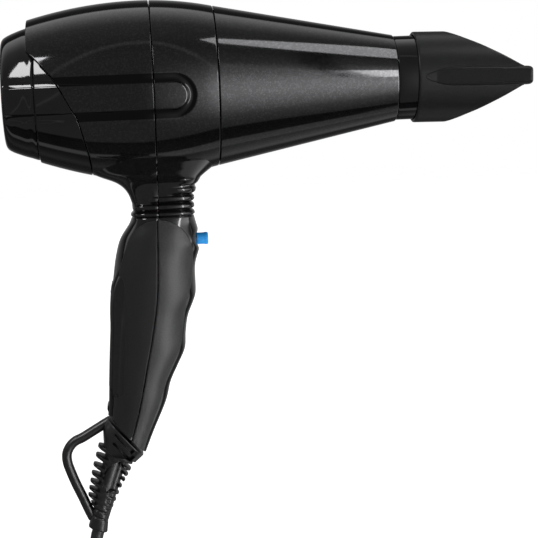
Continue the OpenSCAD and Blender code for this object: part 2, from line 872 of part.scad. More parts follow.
module cool_shot_switch() {
    x1 = flange_x - 5.8;
    color([0.15, 0.15, 0.16]) difference() {
        box([x1 - 5.6, -3.2, button_z - 6], [x1, 3.2, button_z + 6]);
        translate([x1 - 4.6, 0, button_z]) rotate([0, 90, 0]) cylinder(r = 1.6, h = 8);
    }
}

// The long bezel on the back of the grip, with a well for each rocker and a lug at its foot
frame_half = 8;
frame_low = -47;
frame_high = 26;
frame_proud = 0.5;
frame_deep = 1.3;

module frame_space(proud, deep, grow) {
    intersection() {
        difference() {
            grip_solid(-proud);
            grip_solid(deep);
        }
        box([-big, -frame_half - grow, frame_low - grow], [-5, frame_half + grow, frame_high + grow]);
    }
}

module frame_pocket() {
    frame_space(3, frame_deep + 0.15, 0.15);
}

function rocker_x(z) = (z > 0 ? -20.3 : -22.3) * depth_scale;
rocker_in = 6;
rocker_gap = 0.6;

module rocker_wells(gap) {
    for (z = [speed_z, heat_z])
        box([rocker_x(z) - 5, -rocker_w / 2 - gap, z - rocker_l / 2 - gap],
            [rocker_x(z) + rocker_in, rocker_w / 2 + gap, z + rocker_l / 2 + gap]);
}

module switch_frame() {
    lug_x = -21.5 * depth_scale;
    color(gloss_black) difference() {
        union() {
            frame_space(frame_proud, frame_deep, 0);
            intersection() {
                translate([lug_x, 6, -43]) rotate([90, 0, 0]) cylinder(r = 3.4, h = 12);
                difference() {
                    box([-big, -7, -46], [lug_x, 7, -39]);
                    grip_solid(0);
                }
            }
        }
        rocker_wells(rocker_gap);
        below_foot(0.3);
        screw_holes(screw_r);
    }
}

// A rocker, concave on its face with fine ribs, on a pivot along Y
rocker_proud = 1.1;

module rocker(z) {
    x = rocker_x(z);
    half = rocker_l / 2;
    color(gloss_black) difference() {
        slab_at(z, [
            [x - rocker_proud, half], [x - rocker_proud + 0.8, 0], [x - rocker_proud, -half],
            [x + 2.4, -half], [x + 4.6, -2.5], [x + 4.6, 2.5], [x + 2.4, half]
        ], rocker_w);
        for (i = [-7:2:7])
            box([x - rocker_proud - 1, -rocker_w / 2 - 1, z + i - 0.3],
                [x - rocker_proud + 0.5, rocker_w / 2 + 1, z + i + 0.3]);
    }
}

module slab_at(z, points, width) {
    translate([0, 0, z]) slab_xz(points, width);
}

module speed_rocker() { rocker(speed_z); }
module heat_rocker() { rocker(heat_z); }

module rocker_switch(z) {
    x = rocker_x(z) + rocker_in + 0.3;
    color([0.16, 0.16, 0.17]) box([x, -6, z - 8.5], [x + 7.5, 6, z + 8.5]);
}

module speed_switch() { rocker_switch(speed_z); }
module heat_switch() { rocker_switch(heat_z); }

board_x = -4.6;

module switch_board() {
    color([0.1, 0.35, 0.2]) box([board_x, -7.5, -31], [board_x + 1.6, 7.5, 24]);
}

module suppression_capacitor() {
    color([0.85, 0.65, 0.2]) box([board_x + 1.8, -5, 2], [board_x + 7.2, 5, 17]);
}

// Leads from the switches up the neck, past the motor and into the heater
loom_route = [
    [board_x + 3.5, 20], [2, 34], [4, 50], [8, 64], [13.5, saddle_z - 5], [14.5, saddle_z + 3],
    [18, axis_h - 37], [26, axis_h - 32], [heater_x - 0.5, axis_h - 28]
];
loom_y = 5.2;

module wiring_loom() {
    color([0.7, 0.12, 0.1]) for (y = [-loom_y, loom_y]) swept(route_at(loom_route, y), 1.2, 8);
}

module housing_screws() {
    color(steel) for (p = screw_spots) at_screw(p) {
        cylinder(r = screw_head_r, h = screw_head_t);
        cylinder(r = screw_r, h = screw_len);
    }
}

// ---- Cord end of the grip ----

// The strain relief's own axis runs down and back from its top
relief_top = [-16.6, -66];
relief_tilt = 20;
relief_len = 48.8;
lead_r = cord_d / 2;

module on_relief(s) {
    translate([relief_top[0], 0, relief_top[1]]) rotate([0, 180 + relief_tilt, 0]) translate([0, 0, s])
        children();
}

module cord_clamp() {
    color(cream) on_relief(-18) difference() {
        box([-4.2, -9, -3], [7, 9, 3]);
        translate([0, 0, -5]) cylinder(r = lead_r + 0.1, h = 10);
        for (side = [-1, 1]) translate([-10, side * 6.6, 0]) rotate([0, 90, 0]) cylinder(r = 1.3, h = 20);
    }
}

module clamp_screws() {
    color(steel) on_relief(-18) for (side = [-1, 1]) translate([7.1, side * 6.6, 0]) rotate([0, -90, 0]) {
        cylinder(r = 1.2, h = 12);
        translate([0, 0, -1.2]) cylinder(r = 2, h = 1.2);
    }
}

module inner_lead() {
    color(rubber_black) on_relief(-24) cylinder(r = lead_r, h = 24 + relief_len);
}

fin_t = 1.7;
collar_slots = [[[-21.5, -52.8], [-8.6, -67]], [[-24.6, -56.6], [-12, -70.4]]];
collar_shape = [[-24.3, -48.2], [-5.5, -69], [-8.4, -75.6], [-14, -79], [-26, -72], [-30.5, -63.5]];

module relief_fins() {
    for (i = [0:6]) on_relief(6 + 5.2 * i) intersection() {
        cylinder(r = 13 - 0.45 * i, h = fin_t);
        box([2, -6, -1], [20, 6, 4]);
    }
    for (i = [0:8]) on_relief(8.5 + 3.9 * i) intersection() {
        cylinder(r = 10.8 - 0.42 * i, h = fin_t);
        box([-20, -5.5, -1], [-2, 5.5, 4]);
    }
}

module strain_relief() {
    color(rubber_black) difference() {
        union() {
            on_relief(0) cylinder(r1 = 9.2, r2 = 5.2, h = relief_len);
            intersection() {
                slab_xz(collar_shape, 27);
                on_relief(-14) cylinder(r = 15.2, h = 40);
            }
            relief_fins();
            on_relief(-12) cylinder(r = plug_r, h = 14);
        }
        on_relief(-30) cylinder(r = lead_r + 0.05, h = 100);
        intersection() {
            for (s = collar_slots) slab_xz(slot_points(s[0], s[1], 1.3), 60);
            outside_middle(8);
        }
        on_relief(9) intersection() {
            translate([0, 0, 8]) rotate([90, 0, 0]) cylinder(r = 9.5, h = 60, center = true);
            box([-3, -30, -2], [4.6, 30, 18]);
        }
        for (s = [37, 42]) on_relief(s) box([-8, -30, 0], [2, 30, 1.6]);
    }
}

function slot_points(a, b, half) = let(d = (b - a) / norm(b - a), n = [-d[1], d[0]] * half)
    [a + n, b + n, b - n, a - n];

// The hanging loop: an arm out of the collar, a rounded corner and a long arm down to the sleeve
loop_r = 2.7;
loop_points = concat(
    [[-27.4, -52.6], [-40.6, -60]],
    [for (a = [0:15:90]) [-39.9, -69.1] + 8.8 * [cos(115 + a), sin(115 + a)]],
    [[-44.6, -84], [-36.4, -104.2]]);

module hang_loop() {
    color(rubber_black) swept(route_at(loop_points, 0), loop_r, 16);
}

// ---- Cord, hank and plug ----

// Route of the cord from the sleeve to the hank, and of its tail from the hank to the plug
cord_route = [
    [-33.3, 0, -111.9], [-34.6, 0, -116], [-35.4, 0, -122], [-35.5, 0, -130], [-35.5, 2, -138],
    [-35.5, 7, -148], [-35.5, 14, -158], [-35.5, 20, -168], [-35.5, 23.5, -178], [-35.5, 24.5, -186]
];
tail_route = [
    [-35.5, -24.5, -298], [-35.5, -24.5, -308], [-35.4, -23.5, -321], [-34.3, -19, -333], [-31, -12, -345],
    [-26, -5, -357], [-22.5, -1, -368], [-21.5, 0, -378], [-21.5, 0, -384]
];
cord_sides = 8;

module mains_cord() {
    color(rubber_black) swept(cord_route, cord_d / 2, cord_sides);
}

module cord_tail() {
    color(rubber_black) swept(tail_route, cord_d / 2, cord_sides);
}

hank_x = -14.5;
hank_top = -172;
hank_run = 94;
hank_fold = 21;
hank_w = 56;
hank_r = hank_fold + cord_d / 2;
hank_low_z = hank_top - hank_r - hank_run;

module hank_outline(r) {
    for (z = [hank_top - hank_r, hank_low_z]) translate([hank_x, z]) circle(r = r);
    translate([hank_x - r, hank_low_z]) square([2 * r, hank_run]);
}

module cord_hank() {
    color(rubber_black) rotate([90, 0, 0]) linear_extrude(hank_w, center = true) hank_outline(hank_r);
}

module hank_tie() {
    t = 1.6;
    z = hank_low_z + hank_run / 2;
    color(gloss_black) difference() {
        box([hank_x - hank_r - t, -hank_w / 2 - t, z - 6], [hank_x + hank_r + t, hank_w / 2 + t, z + 6]);
        box([hank_x - hank_r, -hank_w / 2, z - 7], [hank_x + hank_r, hank_w / 2, z + 7]);
    }
}

plug_x = -21.5;
plug_z = -384;
plug_neck = 26;
plug_body = 34;
pin_len = 19;
plug_width = 35;
plug_depth = 17;

module plug() {
    face_z = plug_z - plug_neck - plug_body;
    color(rubber_black) {
        translate([plug_x, 0, plug_z - plug_neck]) cylinder(r1 = 7, r2 = 4.6, h = plug_neck);
        slab_xz([
            [plug_x - 8, plug_z - plug_neck + 3], [plug_x + 8, plug_z - plug_neck + 3],
            [plug_x + plug_width / 2, plug_z - plug_neck - 10], [plug_x + plug_width / 2, face_z],
            [plug_x - plug_width / 2, face_z], [plug_x - plug_width / 2, plug_z - plug_neck - 10]
        ], plug_depth);
    }
    color(steel) for (side = [-1, 1]) translate([plug_x + side * pin_gap / 2, 0, face_z - pin_len]) {
        translate([0, 0, 1]) cylinder(r = pin_r, h = pin_len);
        cylinder(r1 = pin_r - 0.8, r2 = pin_r, h = 1);
    }
}

rear_cap();
rear_mesh();
dust_filter();
intake_guard();
rear_collar();
rear_housing();
front_housing();
front_cone();
outlet_band();
outlet_grille();
nozzle_ring();
nozzle();
grip_rear_left();
grip_rear_right();
grip_front_left();
grip_front_right();
fan_shroud();
fan_impeller();
motor_shaft();
motor_case();
motor_bracket_rear();
motor_bracket_front();
bearing_rear();
bearing_front();
stator_core();
field_coils();
armature_core();
armature_windings();
commutator();
carbon_brushes();
brush_holders();
mica_tube();
mica_board_upright();
mica_board_level();
heating_coil_main();
heating_coil_boost();
thermal_cutout();
thermal_fuse();
cool_shot_button();
cool_shot_spring();
cool_shot_switch();
speed_rocker();
heat_rocker();
switch_frame();
speed_switch();
heat_switch();
switch_board();
suppression_capacitor();
wiring_loom();
housing_screws();
cord_clamp();
clamp_screws();
inner_lead();
strain_relief();
hang_loop();
mains_cord();
cord_hank();
hank_tie();
cord_tail();
plug();
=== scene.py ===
import math
import bpy
import numpy as np
from mathutils import Matrix, Vector


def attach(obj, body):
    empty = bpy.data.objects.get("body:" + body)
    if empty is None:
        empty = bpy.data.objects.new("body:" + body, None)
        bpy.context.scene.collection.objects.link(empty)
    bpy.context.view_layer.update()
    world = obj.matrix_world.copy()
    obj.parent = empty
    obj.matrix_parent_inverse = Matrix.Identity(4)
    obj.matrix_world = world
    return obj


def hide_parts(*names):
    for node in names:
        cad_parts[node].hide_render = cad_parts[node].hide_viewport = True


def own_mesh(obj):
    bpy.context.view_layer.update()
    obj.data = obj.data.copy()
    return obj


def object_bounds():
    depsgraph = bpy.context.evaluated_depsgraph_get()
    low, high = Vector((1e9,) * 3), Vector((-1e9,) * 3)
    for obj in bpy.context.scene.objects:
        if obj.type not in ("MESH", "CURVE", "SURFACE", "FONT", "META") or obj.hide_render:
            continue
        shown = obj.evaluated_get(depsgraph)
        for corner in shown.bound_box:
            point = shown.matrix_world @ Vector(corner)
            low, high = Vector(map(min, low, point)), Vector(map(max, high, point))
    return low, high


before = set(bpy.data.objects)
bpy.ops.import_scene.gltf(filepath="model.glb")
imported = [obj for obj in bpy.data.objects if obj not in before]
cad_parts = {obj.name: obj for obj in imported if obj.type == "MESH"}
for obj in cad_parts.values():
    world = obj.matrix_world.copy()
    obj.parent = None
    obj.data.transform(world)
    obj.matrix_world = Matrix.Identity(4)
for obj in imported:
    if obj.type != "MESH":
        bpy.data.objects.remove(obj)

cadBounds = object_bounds()
mm = 0.001

# ---- small tools for shapes and materials ----


def smoothCurve(points, steps):
    # each span is the cubic through its two ends whose slopes are the neighbours' chords
    p = np.asarray(points, float)
    q = np.vstack([p[:1], p, p[-1:]])[:, None]
    a, b, c, d = q[:-3], q[1:-2], q[2:-1], q[3:]
    t = (np.arange(steps) / steps)[None, :, None]
    spans = 0.5 * (2 * b + (c - a) * t + (2 * a - 5 * b + 4 * c - d) * t**2 + (3 * b - a - 3 * c + d) * t**3)
    return np.vstack([spans.reshape(-1, p.shape[1]), p[-1:]])


def table(points, steps=8):  # a table of (value, height) as a function of height, smooth between its rows
    dense = smoothCurve(points, steps)
    order = np.argsort(dense[:, 1])
    return lambda z: np.interp(z, dense[order, 1], dense[order, 0])


def ease(t):  # 0 below 0, 1 above 1, and 3t^2 - 2t^3 between
    t = np.clip(t, 0, 1)
    return t * t * (3 - 2 * t)


def roundAngles(count):  # evenly spaced angles once round, without the last
    return np.linspace(0, 2 * math.pi, count, endpoint=False)


def signedPower(v, power):  # a power that keeps the sign, for squarish or pinched ovals
    return np.sign(v) * np.abs(v) ** power


def linear(hexColour):  # sRGB hex to linear RGB
    v = np.array([int(hexColour[i:i + 2], 16) for i in (1, 3, 5)]) / 255
    return [*np.where(v <= 0.04045, v / 12.92, ((v + 0.055) / 1.055) ** 2.4).tolist(), 1.0]


def finishPiece(obj, material, body, stands=(), bend=35):
    obj.data.materials.append(material)
    obj.data.polygons.foreach_set("use_smooth", np.ones(len(obj.data.polygons), bool))
    obj.data.set_sharp_from_angle(angle=math.radians(bend))
    bpy.context.scene.collection.objects.link(obj)
    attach(obj, body)
    if stands:
        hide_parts(*stands)
    return obj


def meshFrom(name, points, faces):
    # one mesh from an array of points in millimetres and a list of face arrays
    mesh = bpy.data.meshes.new(name)
    mesh.from_pydata((points * mm).tolist(), [], [f for block in faces for f in block.tolist()])
    mesh.update()
    return bpy.data.objects.new(name, mesh)


def loft(name, rings, closed=False):
    # quads between closed rings of points, fans over the two ends, faces turned outwards
    n, m, _ = rings.shape
    points = rings.reshape(-1, 3)
    i = np.arange(n if closed else n - 1)[:, None]
    j = np.arange(m)[None, :]
    a, b = i * m + j, ((i + 1) % n) * m + j
    c, d = ((i + 1) % n) * m + (j + 1) % m, i * m + (j + 1) % m
    quads = np.stack([a, b, c, d], -1).reshape(-1, 4)
    tris = np.concatenate([quads[:, [0, 1, 2]], quads[:, [0, 2, 3]]])
    fans = np.zeros((0, 3), int)
    if not closed:
        points = np.vstack([points, rings[0].mean(0), rings[-1].mean(0)])
        k = np.arange(m)
        first = np.stack([np.full(m, n * m), k, (k + 1) % m], -1)
        last = np.stack([np.full(m, n * m + 1), (n - 1) * m + (k + 1) % m, (n - 1) * m + k], -1)
        fans = np.vstack([first, last])
    allTris = np.vstack([tris, fans])
    corners = points[allTris]
    volume = np.einsum("ij,ij->i", corners[:, 0], np.cross(corners[:, 1], corners[:, 2])).sum()
    if volume < 0:
        quads, fans = quads[:, ::-1], fans[:, ::-1]
    return meshFrom(name, points, [quads, fans])


def joined(name, objects):  # several meshes as one object, before it gets a material
    points, faces, start = [], [], 0
    for o in objects:
        mesh = o.data
        co = np.empty(len(mesh.vertices) * 3)
        mesh.vertices.foreach_get("co", co)
        points.append(co.reshape(-1, 3) / mm)
        faces += [np.array([[v + start for v in p.vertices]]) for p in mesh.polygons]
        start += len(mesh.vertices)
        bpy.data.objects.remove(o)
    return meshFrom(name, np.vstack(points), faces)


def addNode(tree, kind, settings=None, links=None):
    # one node; settings by socket or property name, links by socket name
    node = tree.nodes.new(kind)
    for key, value in (settings or {}).items():
        if isinstance(key, int) or key in node.inputs:
            node.inputs[key].default_value = value
        else:
            setattr(node, key, value)
    for key, source in (links or {}).items():
        tree.links.new(source, node.inputs[key])
    return node


def newMaterial(name, settings):  # a Principled material, its tree, its shader and its Object coordinates
    material = bpy.data.materials.new(name)
    material.use_nodes = True
    tree = material.node_tree
    shader = tree.nodes["Principled BSDF"]
    for key, value in settings.items():
        shader.inputs[key].default_value = value
    coordinates = addNode(tree, "ShaderNodeTexCoord").outputs["Object"]
    return material, tree, shader, coordinates


def grainMaterial(name, settings, colours, scale, roughness, bump, detail=3.0, distance=0.0001):
    # two close colours and two roughnesses mixed by one noise, and a fine bump from a second
    material, tree, shader, at = newMaterial(name, settings)
    noise = addNode(tree, "ShaderNodeTexNoise", {"Scale": scale, "Detail": detail, "Roughness": 0.6},
                    {"Vector": at})
    tint = addNode(tree, "ShaderNodeValToRGB", links={"Fac": noise.outputs["Fac"]})
    for point, place, colour in zip(tint.color_ramp.elements, (0.35, 0.65), colours):
        point.position, point.color = place, linear(colour)
    rough = addNode(tree, "ShaderNodeMapRange", {"To Min": roughness[0], "To Max": roughness[1]},
                    {"Value": noise.outputs["Fac"]})
    fine = addNode(tree, "ShaderNodeTexNoise", {"Scale": scale * 2.3, "Detail": 2.0}, {"Vector": at})
    relief = addNode(tree, "ShaderNodeBump", {"Strength": bump, "Distance": distance},
                     {"Height": fine.outputs["Fac"]})
    tree.links.new(tint.outputs["Color"], shader.inputs["Base Color"])
    tree.links.new(rough.outputs["Result"], shader.inputs["Roughness"])
    tree.links.new(relief.outputs["Normal"], shader.inputs["Normal"])
    return material


# ---- camera and lights ----

# mm and degrees
view = {"target": (68, 0, 29), "distance": 960, "yaw": 4.6, "pitch": 6.1, "roll": 2.45, "lens": 116.1}


def placeCamera(v):
    yaw, pitch, roll = (math.radians(v[k]) for k in ("yaw", "pitch", "roll"))
    ahead = Vector((math.sin(yaw) * math.cos(pitch), math.cos(yaw) * math.cos(pitch), -math.sin(pitch)))
    level = Vector((math.cos(yaw), -math.sin(yaw), 0))
    up = level.cross(ahead)
    right = level * math.cos(roll) - up * math.sin(roll)
    top = level * math.sin(roll) + up * math.cos(roll)
    data = bpy.data.cameras.new("camera")
    data.lens, data.sensor_width, data.clip_start, data.clip_end = v["lens"], 36, 0.05, 60
    camera = bpy.data.objects.new("camera", data)
    spot = Vector(v["target"]) * mm - ahead * v["distance"] * mm
    turn = Matrix((right, top, -ahead)).transposed().to_4x4()
    camera.matrix_world = Matrix.Translation(spot) @ turn
    bpy.context.scene.collection.objects.link(camera)
    bpy.context.scene.camera = camera


placeCamera(view)
bpy.context.scene.view_settings.view_transform = "Standard"

lamps = {  # azimuth from the camera's side towards +X, elevation, distance, width, height, watts
    "leftBox": (-50, 37, 1.3, 0.28, 0.5, 7),
    "rightBox": (62, 52, 1.5, 0.5, 0.6, 5),
}
lampAim = Vector((0.03, 0, 0.11))


def addLamp(name, azimuth, elevation, distance, width, height, watts):
    a, e = math.radians(azimuth), math.radians(elevation)
    back = Vector((math.sin(a) * math.cos(e), -math.cos(a) * math.cos(e), math.sin(e)))
    data = bpy.data.lights.new(name, "AREA")
    data.shape, data.size, data.size_y, data.energy = "RECTANGLE", width, height, watts
    lamp = bpy.data.objects.new(name, data)
    lamp.location = lampAim + back * distance
    lamp.rotation_mode = "QUATERNION"
    lamp.rotation_quaternion = (-back).to_track_quat("-Z", "Y")
    bpy.context.scene.collection.objects.link(lamp)


for lampName, lampSettings in lamps.items():
    addLamp(lampName, *lampSettings)

studio = {
    # what the gloss mirrors, by the angle round the barrel's axis: 0 is the camera's side, 90 overhead, -90
    # the floor, 180 behind
    "leftRoom": [(-180, 0.3), (-150, 0.05), (-132, 0.05), (-122, 0.15), (-104, 0.06), (-101, 0.6), (-80, 0.6),
                 (-74, 0.27), (-30, 0.27), (40, 0.27), (60, 0.24), (84, 0.36), (94, 0.42), (104, 0.72),
                 (114, 1.1), (129, 1.3), (131, 0.03), (146, 0.05), (180, 0.4)],
    "rightRoom": [(-180, 0.7), (-150, 0.06), (-134, 0.1), (-126, 1.4), (-112, 1.0), (-96, 0.55), (-84, 0.28),
                  (-66, 0.32), (-48, 0.85), (-30, 2.5), (-12, 3.95), (2, 3.6), (18, 1.9), (36, 0.55),
                  (56, 0.24), (84, 0.25), (94, 0.34), (104, 0.62), (114, 0.9), (124, 0.9), (127, 0.03),
                  (146, 0.05), (180, 0.6)],
    "sides": [(0, 0), (12, 0.18), (23, 0.42), (27, 0.88), (30, 1)], "brightest": 4.0, "fill": 0.45,
    "backdrop": 1.0,
    # pale arc overhead that drops away to both sides: top height angle, drop per degree squared, half
    # height, softness, level
    "arc": (62, 0.05, 2.2, 3.0, 0.3),
    # low black flag: height angle, its shift to the right, half height, and where to the right it tapers off
    "lowFlag": {"at": -84, "shift": 0.3, "half": 11, "taper": (24, 30)},
    # flags and strip lights to the right: lean, place across, half width, softness, height angle, half
    # height, softness, level
    "spots": [(0.083, 31.15, 0.55, 0.25, 33, 28, 8, 0), (0, 38, 9, 3, 56, 3.5, 2, 0),
              (0.083, 33, 1.3, 0.4, 13, 9, 3, 13), (0, 35.5, 2.6, 0.8, -8, 32, 8, 12)],
}


def roomRamp(tree, stops, brightest, angle):
    # levels at angles between the first stop and the last, as shares of the brightest
    first, last = stops[0][0], stops[-1][0]
    share = addNode(tree, "ShaderNodeMapRange", {"From Min": first, "From Max": last},
                    {"Value": angle}).outputs["Result"]
    ramp = addNode(tree, "ShaderNodeValToRGB", links={"Fac": share})
    points = ramp.color_ramp.elements
    for degrees, level in stops:
        if degrees in (first, last):
            point = points[0 if degrees == first else -1]
        else:
            point = points.new((degrees - first) / (last - first))
        point.color = (level / brightest,) * 3 + (1,)
    return ramp.outputs["Color"]


def maths(tree, operation, *terms):  # one sum of plain numbers or other nodes' outputs
    node = addNode(tree, "ShaderNodeMath", {"operation": operation})
    for slot, value in enumerate(terms):
        if isinstance(value, (int, float)):
            node.inputs[slot].default_value = value
        else:
            tree.links.new(value, node.inputs[slot])
    return node.outputs[0]


def softBand(tree, across, centre, half, soft):
    # 1 within half of the centre, falling smoothly to 0 over the soft edge
    away = maths(tree, "ABSOLUTE", maths(tree, "SUBTRACT", across, centre))
    inside = maths(tree, "DIVIDE", maths(tree, "SUBTRACT", half, away), soft)
    return addNode(tree, "ShaderNodeMapRange",
                   {"interpolation_type": "SMOOTHSTEP", "From Min": -0.5, "From Max": 0.5},
                   {"Value": inside}).outputs[0]


def makeWorld(s):
    # white behind the object, soft white fill, and a softly graded room in its gloss, brighter on the right
    world = bpy.data.worlds.new("studio")
    bpy.context.scene.world = world
    world.use_nodes = True
    tree = world.node_tree
    way = addNode(tree, "ShaderNodeSeparateXYZ",
                  links={"Vector": addNode(tree, "ShaderNodeTexCoord").outputs["Generated"]}).outputs
    turn = maths(tree, "ARCTAN2", way["Z"], maths(tree, "MULTIPLY", way["Y"], -1.0))
    height, right = maths(tree, "DEGREES", turn), maths(tree, "DEGREES", maths(tree, "ARCSINE", way["X"]))
    room = addNode(tree, "ShaderNodeMix", links={0: roomRamp(tree, s["sides"], 1, right),
                                                 2: roomRamp(tree, s["leftRoom"], s["brightest"], height),
                                                 3: roomRamp(tree, s["rightRoom"], s["brightest"], height)})
    top, drop, half, soft, pale = s["arc"]
    bow = maths(tree, "SUBTRACT", top, maths(tree, "MULTIPLY", maths(tree, "MULTIPLY", right, right), drop))
    level = maths(tree, "ADD", maths(tree, "MULTIPLY", room.outputs[0], s["brightest"]),
                  maths(tree, "MULTIPLY", softBand(tree, height, bow, half, soft), pale))
    flag = s["lowFlag"]
    taper = addNode(tree, "ShaderNodeMapRange",
                    {"From Min": flag["taper"][0], "From Max": flag["taper"][1], "To Min": flag["half"],
                     "To Max": -3.0},
                    {"Value": right}).outputs["Result"]
    low = softBand(tree, height, maths(tree, "ADD",
                                       maths(tree, "MULTIPLY", maths(tree, "MAXIMUM", right, 0.0),
                                             flag["shift"]), flag["at"]), taper, 2.5)
    strips = 0.0
    for lean, at, half, soft, up, halfUp, softUp, strip in s["spots"]:
        leaning = maths(tree, "ADD", right, maths(tree, "MULTIPLY", height, lean))
        spot = maths(tree, "MULTIPLY", softBand(tree, leaning, at, half, soft),
                     softBand(tree, height, up, halfUp, softUp))
        if strip:
            strips = maths(tree, "ADD", strips, maths(tree, "MULTIPLY", spot, strip))
        else:
            low = maths(tree, "MAXIMUM", low, spot)
    level = maths(tree, "ADD", maths(tree, "MULTIPLY", level,
                                     maths(tree, "SUBTRACT", 1.0, maths(tree, "MULTIPLY", low, 0.92))),
                  strips)
    path = addNode(tree, "ShaderNodeLightPath").outputs
    lit = addNode(tree, "ShaderNodeMix", {2: s["fill"]}, {0: path["Is Glossy Ray"], 3: level})
    seen = addNode(tree, "ShaderNodeMix", {3: s["backdrop"]}, {0: path["Is Camera Ray"], 2: lit.outputs[0]})
    tree.links.new(seen.outputs[0], tree.nodes["Background"].inputs["Strength"])
    tree.nodes["Background"].inputs["Color"].default_value = (1, 1, 1, 1)


makeWorld(studio)


def makeFloor():  # a wide pale sheet just under the lowest pin
    low = float(cadBounds[0][2]) / mm - 1.5
    half = 9000
    points = np.array([[-half, -half, low], [half, -half, low], [half, half, low], [-half, half, low]], float)
    floor = meshFrom("floor", points, [np.array([[0, 1, 2, 3]])])
    material, tree, shader, at = newMaterial("paintedPaleFloor", {"Roughness": 0.9, "Emission Strength": 0.8})
    shader.inputs["Base Color"].default_value = linear("#f4f4f4")
    shader.inputs["Emission Color"].default_value = (1, 1, 1, 1)
    floor.data.materials.append(material)
    bpy.context.scene.collection.objects.link(floor)
    floor.visible_glossy = False


makeFloor()
print("stage: camera, lights and floor are in place")

# ---- mains cord: down out of the sleeve, folded into a hank under a tie, and on to the plug ----

leadPlan = {
    "start": [(-33.3, 0, -111.9), (-34.6, 0, -116), (-35.4, 0, -122), (-35.5, 0, -130), (-35.5, 2, -138),
              (-35.5, 7, -148), (-35.5, 14, -158), (-35.5, 20, -168), (-35.5, 23.5, -178),
              (-35.5, 24.5, -186)],
    "end": [(-35.5, -24.5, -298), (-35.5, -24.5, -308), (-35.4, -23.5, -321), (-34.3, -19, -333),
            (-31, -12, -345), (-26, -5, -357), (-22.5, -1, -368), (-21.5, 0, -378), (-21.5, 0, -384)],
    "centre": -14.5, "fold": 21.0, "high": -196.5, "low": -290.5, "turns": 7, "first": 24.5, "pitch": 7.0,
    "diameter": 7.0, "sides": 14, "spacing": 3.0,
}


def leadRoute(p):
    # the start, seven turns of a racetrack that steps sideways evenly by its length, and the end
    run, arc = p["high"] - p["low"], math.pi * p["fold"]
    around = 2 * (run + arc)
    s = np.arange(0, p["turns"] * around, 4.0)
    k = np.mod(s, around)
    x, z = np.empty_like(s), np.empty_like(s)
    down, under = k < run, (k >= run) & (k < run + arc)
    rise, over = (k >= run + arc) & (k < 2 * run + arc), k >= 2 * run + arc
    x[down], z[down] = p["centre"] - p["fold"], p["high"] - k[down]
    a = (k[under] - run) / p["fold"]
    x[under], z[under] = p["centre"] - p["fold"] * np.cos(a), p["low"] - p["fold"] * np.sin(a)
    x[rise], z[rise] = p["centre"] + p["fold"], p["low"] + (k[rise] - run - arc)
    a = (k[over] - 2 * run - arc) / p["fold"]
    x[over], z[over] = p["centre"] + p["fold"] * np.cos(a), p["high"] + p["fold"] * np.sin(a)
    y = p["first"] - p["pitch"] * s / around
    turns = np.stack([x, y, z], -1)
    lastRun = np.stack([np.full(24, p["centre"] - p["fold"]),
                        np.full(24, p["first"] - p["pitch"] * p["turns"]),
                        np.linspace(p["high"], p["low"] - 4, 24)], -1)
    raw = np.vstack([smoothCurve(p["start"], 6)[:-1], turns, lastRun, smoothCurve(p["end"], 6)])
    steps = np.linalg.norm(np.diff(raw, axis=0), axis=1)
    raw = raw[np.concatenate([[True], steps > 0.2])]
    along = np.concatenate([[0], np.cumsum(np.linalg.norm(np.diff(raw, axis=0), axis=1))])
    even = np.linspace(0, along[-1], int(along[-1] / p["spacing"]) + 1)
    return np.stack([np.interp(even, along, raw[:, i]) for i in range(3)], -1), along[-1]


def tube(name, route, radius, sides):  # rings square to the route, turned with it so that they never twist
    ahead = np.gradient(route, axis=0)
    ahead /= np.linalg.norm(ahead, axis=1)[:, None]
    normal = np.empty_like(ahead)
    v = np.cross(ahead[0], [0, 1, 0])
    for i, d in enumerate(ahead):  # carries one ring's direction on to the next
        v = v - d * v.dot(d)
        v /= np.linalg.norm(v)
        normal[i] = v
    across = np.cross(ahead, normal)
    a = roundAngles(sides)[None, :, None]
    r = np.broadcast_to(np.asarray(radius, float), (len(route),))[:, None, None]
    return loft(name, route[:, None] + r * (np.cos(a) * normal[:, None] + np.sin(a) * across[:, None]))


rubber = {"IOR": 1.52, "Specular IOR Level": 0.45}
# Extruded rubber: near black with a low even sheen; moulded rubber is darker and a little glossier
cordRubber = grainMaterial("extrudedRubberLead", rubber, ("#0b0b0c", "#111112"), 900, (0.34, 0.46), 0.15)
mouldedRubber = grainMaterial("mouldedRubber", rubber, ("#060607", "#0d0d0e"), 700, (0.27, 0.38), 0.15)

route, routeLength = leadRoute(leadPlan)
cordPiece = finishPiece(tube("mainsLead", route, leadPlan["diameter"] / 2, leadPlan["sides"]), cordRubber,
                        "root",
                        ("mains_cord", "cord_hank", "cord_tail"), 60)
print(f"cord: {routeLength:.0f} mm")

# ---- barrel: shells, collar, cap, cone ----

barrel = {
    "axis": 131.0, "fattest": 47.7, "crown": 4.0, "rearRadius": 39.2, "rear": -57.5, "split": 8.5,
    "coneStart": 42.8,
    "coneWide": 43.3, "coneEnd": 140.7, "coneNarrow": 23.6, "wall": 2.2, "gap": 0.5, "capFront": -54.0,
    "collarTaper": 0.1, "collarFront": -26.0,
    "sweep": [(-57.5, 22.5), (-53.2, 18.2), (-48.7, 13.4), (-43.8, 7.5), (-40, 1), (-35.3, -8.3),
              (-32, -14.5), (-29.1, -25.3), (-26.4, -38), (-26, -52)],
    "channelHeight": 127.0, "channelHalf": 11.8, "channelWidth": 5.0, "channelEnd": 18.9,
    "channelDepth": 0.75,
    "channelSoft": 0.1, "edgeRound": 0.35, "coneAround": 220,
    "around": 288, "along": 110,
}


